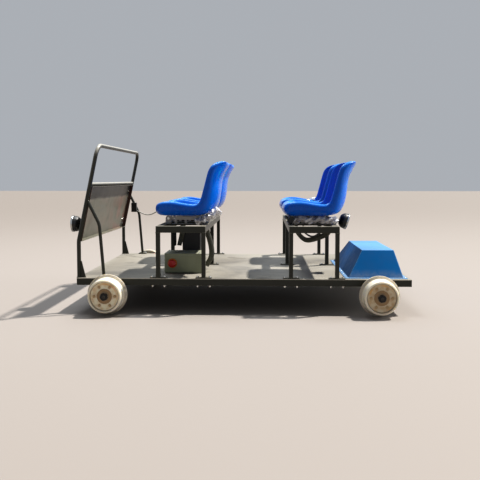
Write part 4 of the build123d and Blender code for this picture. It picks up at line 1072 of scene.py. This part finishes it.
def belts_piece(name, belts, finish, **more):
    """Several belts as one piece, each point with its place along and across its own belt."""
    shapes, places = zip(*belts)
    return make_piece(name, join_shapes(*shapes), "webbing_black", finish,
                      place_attribute=np.concatenate(places), sharp=60, **more)


print("belt helper ready")

# %% The hanging and looped belts
def under(x, y, points):
    """Points given behind a stand's middle and above the deck in millimetres, at one Y."""
    return [(x + across * MM, y, deck_top + height * MM) for across, height in points]


narrow_belt = 0.030
front_x, rear_x = stand_xs
hanging_y, looped_y = -0.225, -0.430
front_strap = under(front_x, hanging_y, [(-101, 319), (-101, 290), (-101, 261), (-98, 214), (-97, 160)])
middle_strap = under(front_x, hanging_y, [(-39, 319), (-39, 290), (-43, 255), (-54, 207), (-66, 162)])
rear_strap = under(front_x, hanging_y, [(126, 287), (126, 262), (144, 214), (159, 151), (162, 84),
                                        (132, 40), (121, 21)])
wide_loop = under(rear_x, looped_y, [(-102, 319), (-102, 296), (-94, 272), (-53, 226), (-16, 217),
                                     (88, 254), (109, 274), (111, 296), (111, 319)])
narrow_loop = under(rear_x, looped_y, [(-56, 319), (-56, 290), (-41, 263), (8, 238), (45, 263),
                                       (58, 290), (58, 319)])
belts_piece("hanging_belts", [belt(front_strap, (70, 20))], "webbing_black", stands_for=("belts",))
belts_piece("olive_belts", [belt(middle_strap, (80, 40)), belt(rear_strap, (80, 62)),
                            belt(wide_loop, (35, 75)), belt(narrow_loop, (20, 10), narrow_belt)],
            "webbing_olive", stands_for=("belts",))

# %% [markdown]
# ## The sagging cable
# A light grey control cable leaves the gland of the switch box, sags under its own weight and rises
# to a clip on the slide of the far front seat. Both ends are fixed, so its shape is set by its
# length alone. A NURBS curve with the route's points as control points gives the even bend of a
# stiff sheath, where straight runs with rounded corners would look like bent wire.

# %% Draw the cable on its route
cable_diameter = 9 * MM
cable_route = [
    # along X, across Y, height above the deck, in millimetres
    (-907.9, 594.5, 356.9), (-888.0, 594.5, 347.6),
    (-862, 587, 336), (-834, 586, 328), (-805, 582, 329), (-778, 574, 338), (-752, 562, 352),
    (-726, 546, 367), (-698, 525, 379), (-666, 499, 385), (-633, 471, 383), (-602, 447, 376),
    (-554.5, 430, 366), (-527.5, 430, 366),
]


def curve_along(name, points, radius):
    """A round cord whose centreline is a quadratic NURBS with the points as its control points. Its
    radius is kept in the points and not in the bevel, because a curve's box grows by the points' one."""
    line = bpy.data.curves.new(name, "CURVE")
    line.dimensions = "3D"
    line.bevel_depth = 1.0
    line.bevel_resolution = 5
    line.use_fill_caps = True
    spline = line.splines.new("NURBS")
    spline.points.add(len(points) - 1)
    spline.points.foreach_set("co", np.column_stack([points, np.ones(len(points))]).ravel())
    spline.points.foreach_set("radius", np.full(len(points), radius))
    spline.order_u = 3
    spline.use_endpoint_u = True
    spline.resolution_u = 12
    cord = bpy.data.objects.new(name, line)
    scene.collection.objects.link(cord)
    return cord


route = np.array(cable_route) * MM + (0.0, 0.0, deck_top)
cable = curve_along("control_cable", route, cable_diameter / 2)
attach(cable, "chassis")
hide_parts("cable")
cable.data.materials.append(finishes["cable_grey"])
print("cable: straight runs between its points add up to", walked_along(route)[-1].round(3), "m")

# %% [markdown]
# ## Wrapping film
# The seats came wrapped in clear film, and rags of it are still caught on the slides. Crumpled
# film is flat facets between straight sharp creases, so its height is a sum of triangle waves that
# run in different directions: each wave is flat between its turns, and where many cross, the
# facets are as uneven as real ones. A rag is a loose sleeve round a line, and the sleeve's radius
# carries the creases. Film is thin, so the shader lets about half of the light and the view
# through. Its crease ridges are painted whiter as painted highlights and made denser, and where it
# is bunched up it is whiter and denser, so every point also carries how many layers lie there and
# how far it stands out.

# %% Clear film
def clear_film(film):
    folds = film.node("ShaderNodeAttribute", {"attribute_name": "belt_place"}, {}, "Vector")
    # painted highlight: the ridges of the creases are painted whiter
    layers, ridge_highlight = film.axis(folds, "X"), film.axis(folds, "Z")
    milky = film.noise(45, 5, 0.6)
    film.feed(Base_Color=film.mix(ridge_highlight * 0.6 + layers * 0.5, (0.42, 0.385, 0.40), (1.0, 1.0, 1.0)),
              Roughness=0.16 + milky * 0.14, Alpha=0.50 + ridge_highlight * 0.22 + layers * 0.34 + milky * 0.10)


keep("clear_film", clear_film, Specular_IOR_Level=0.9, Coat_Weight=0.5, Coat_Roughness=0.10)

# %% Creases
def triangle_wave(phase):
    """Goes up and down between -1 and 1 in straight lines, once for each whole number of the phase."""
    return 4 * np.abs(phase - np.floor(phase + 0.5)) - 1


def crumpled(along, turn, reach, seed, waves=9):
    """The sum of triangle waves whose directions, lengths and phases come from the seed. A wave has a
    whole number of turns round the sleeve, so that it closes, and most of the folds run the same way
    across it. The more turns a wave has, the lower it is."""
    draw = np.random.default_rng(seed)
    rounds = draw.integers(1, 5, waves)
    lengths = draw.uniform(0.030, 0.130, waves) * draw.choice((-1, 1), waves, p=(0.25, 0.75))
    heights = reach / (1 + 0.25 * rounds) * draw.uniform(0.5, 1.2, waves)
    starts = draw.uniform(0, 1, waves)
    rounds, lengths, heights, starts = (row[:, None, None] for row in (rounds, lengths, heights, starts))
    return (heights * triangle_wave(along / lengths + rounds * turn / (2 * np.pi) + starts)).sum(axis=0)


print("a triangle wave:", triangle_wave(np.array([0, 0.25, 0.5, 0.75])))

# %% A crumpled sleeve
torn_teeth, torn_depth, torn_from = 5, 0.006, 0.97
lowest_crease, crease_span = -0.9, 2.2


def film_sleeve(name, line, half_width, half_height, reach, seed, layers):
    """A sleeve of film round a line. Each ring is an ellipse whose half width and height run evenly
    from one end to the other, and the creases are added outwards. Its last rings are torn to teeth,
    which are a triangle wave round the sleeve. layers gives how bunched it is at its first ring, a
    little before its middle and at its last ring."""
    rings, round_it = 150, 110
    line = soft_path(line, 12)
    at = np.linspace(0, 1, rings)
    share = np.linspace(0, 1, len(line))
    middle = np.stack([np.interp(at, share, line[:, k]) for k in range(3)], axis=1)
    walked = walked_along(middle)[:, None]
    turn = np.linspace(0, 2 * np.pi, round_it, endpoint=False)[None, :]
    creases = crumpled(walked, turn, reach, seed)
    wide = np.interp(at, (0, 1), half_width)[:, None] + creases
    high = np.interp(at, (0, 1), half_height)[:, None] + creases
    lean = np.arctan(np.gradient(middle[:, 2]) / np.maximum(np.gradient(middle[:, 0]), 1e-6))[:, None]
    teeth = torn_depth * triangle_wave(turn * torn_teeth / (2 * np.pi) + 0.3) * (at[:, None] > torn_from)
    points = np.stack([middle[:, :1] - high * np.sin(turn) * np.sin(lean) + teeth,
                       middle[:, 1:2] + wide * np.cos(turn),
                       middle[:, 2:] + high * np.sin(turn) * np.cos(lean)], axis=-1)
    place = np.zeros(points.shape)
    place[..., 0] = np.interp(at, (0, 0.45, 1), layers)[:, None]
    place[..., 2] = np.clip((creases / reach - lowest_crease) / crease_span, 0, 1)
    rag = make_piece(name, (points.reshape(-1, 3), grid_quads(rings, round_it)),
                     "seat_plastic", "clear_film", place_attribute=place.reshape(-1, 3), sharp=12)


print("film helpers ready")

# %% The two rags
rail_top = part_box("stand_rails")[1].z
front_rag_line = [(-0.312, -0.478, 0.018), (-0.280, -0.480, 0.024), (-0.243, -0.482, 0.036),
                  (-0.208, -0.484, 0.052), (-0.178, -0.486, 0.072), (-0.156, -0.488, 0.094)]
rear_rag_line = [(0.285, -0.448, 0.030), (0.340, -0.450, 0.031), (0.430, -0.446, 0.032),
                 (0.520, -0.450, 0.031), (0.590, -0.448, 0.026), (0.606, -0.446, 0.020)]
film_sleeve("front_film", np.array(front_rag_line) + (0, 0, rail_top), (0.026, 0.040), (0.012, 0.024),
            0.0065, 5, (0.5, 0.2, 1.0))
film_sleeve("rear_film", np.array(rear_rag_line) + (0, 0, rail_top), (0.038, 0.046), (0.025, 0.021),
            0.0055, 11, (0.0, 0.1, 0.5))

# %% [markdown]
# ## Buckles
# A belt's bright buckle lies on the far seat of the rear row, and a black one hangs beside the near
# seat's slide. Each is a block with soft edges, and the tongue is a second, flatter block that
# stands out of the first, with a short end of webbing.

# %% Buckles
def turned_block(size, roundness, centre, tilt, swing=0.0):
    """A rounded block turned by a tilt about Y and then a swing about Z, both in degrees, and put at
    its centre."""
    points, quads = rounded_block(size, roundness=roundness)
    turn = Euler((0.0, math.radians(tilt), math.radians(swing))).to_matrix()
    return points @ np.array(turn).T + centre, quads


pan_rise = 0.082
pan_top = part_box("rear_seat_far")[0].z + pan_rise
bright_block = turned_block((34, 40, 20), 0.4, (0.494, 0.150, pan_top + 0.016), -14, 20)
bright_tongue = turned_block((26, 34, 13), 0.4, (0.461, 0.146, pan_top + 0.006), 10, 20)
make_piece("bright_buckle", join_shapes(bright_block, bright_tongue), "slide_steel", "buckle_nickel",
           sharp=60)
black_block = turned_block((36, 22, 46), 0.22, (0.306, -0.492, rail_top + 0.030), 32, 6)
black_tongue = turned_block((22, 16, 10), 0.3, (0.279, -0.486, rail_top + 0.048), 25)
make_piece("black_buckle", join_shapes(black_block, black_tongue), "battery_black", sharp=60)

# %% The buckles' belt ends
black_end = [(0.272, -0.486, rail_top + 0.062), (0.281, -0.487, rail_top + 0.045),
             (0.290, -0.489, rail_top + 0.022), (0.302, -0.490, rail_top + 0.006)]
bright_end = [(0.505, 0.150, pan_top + 0.004), (0.530, 0.185, pan_top - 0.018),
              (0.548, 0.235, pan_top - 0.025), (0.552, 0.300, pan_top - 0.026)]
belts_piece("buckle_belts", [belt(black_end, (10, 25), narrow_belt),
                             belt(bright_end, (5, 60), narrow_belt)], "webbing_black")

# %% [markdown]
# ## Floor and light
# A plain pale floor and large soft lights keep the eye on the trolley. In the photograph the sun
# stands high behind the right end, so tops and rear faces are bright while the near sides stay
# dark. The key light is a sun from there, wide enough for soft shadow edges, and a broad bluish
# light from above stands for the sky. A third and weaker one at the rear end brightens every edge
# that looks that way, as pale ground in the sun does. The world looks brighter to the camera and
# in reflections than it lights the trolley, so that the near sides keep their weak light.

# %% A plain floor
floor_reach = 40.0
floor_mesh = bpy.data.meshes.new("floor")
floor_mesh.from_pydata([(-floor_reach, -floor_reach, 0), (floor_reach, -floor_reach, 0),
                        (floor_reach, floor_reach, 0), (-floor_reach, floor_reach, 0)], [], [(0, 1, 2, 3)])
floor = bpy.data.objects.new("floor", floor_mesh)
scene.collection.objects.link(floor)
floor_mesh.materials.append(Finish("floor_paint", Roughness=0.75, Base_Color=(0.268, 0.238, 0.216)).material)
print("floor", 2 * floor_reach, "m wide")

# %% Lights
def soft_light(name, kind, place, target, size, power, colour):
    """A lamp at a place that looks at a target. A disk's size is in metres and its power in watts. A
    sun's size is the angle that it covers in degrees, and its power is in watts on a square metre."""
    lamp = bpy.data.lights.new(name, kind)
    lamp.energy = power
    lamp.color = colour
    if kind == "SUN":
        lamp.angle = math.radians(size)
    else:
        lamp.shape = "DISK"
        lamp.size = size
    holder = bpy.data.objects.new(name, lamp)
    holder.location = place
    aim = np.array(target) - np.array(place)
    flat = math.hypot(aim[0], aim[1])
    holder.rotation_euler = (math.atan2(flat, -aim[2]), 0.0, math.atan2(-aim[0], aim[1]))
    scene.collection.objects.link(holder)


soft_light("key_light", "SUN", (6.8, 3.4, 13.2), (0.0, 0.0, 0.3), 2.6, 5.6, (1.0, 0.965, 0.91))
soft_light("sky_light", "AREA", (-1.5, 1.5, 7.0), (0.0, 0.0, 0.3), 3.6, 300, (0.86, 0.93, 1.0))
soft_light("rear_light", "AREA", (10.0, 0.8, 3.4), (0.0, 0.0, 0.4), 5.0, 340, (0.93, 0.97, 1.0))
print("lights", len(bpy.data.lights))

# %% The world's light and the picture's tone
world = bpy.data.worlds.new("studio")
world.use_nodes = True
world_nodes = Graph(world.node_tree)
seen = world_nodes.node("ShaderNodeLightPath", {}, {}, "Is Camera Ray")
mirrored = world_nodes.node("ShaderNodeLightPath", {}, {}, "Is Glossy Ray")
world_shader = world.node_tree.nodes["Background"]
world_nodes.join((0.80, 0.84, 0.90), world_shader.inputs["Color"])
world_nodes.join(seen * 0.24 + mirrored * 0.45 + 0.22, world_shader.inputs["Strength"])
scene.world = world
scene.view_settings.view_transform = "Standard"
scene.view_settings.look = "Medium High Contrast"
print("the world has", len(world.node_tree.nodes), "nodes")

# %% [markdown]
# ## The end
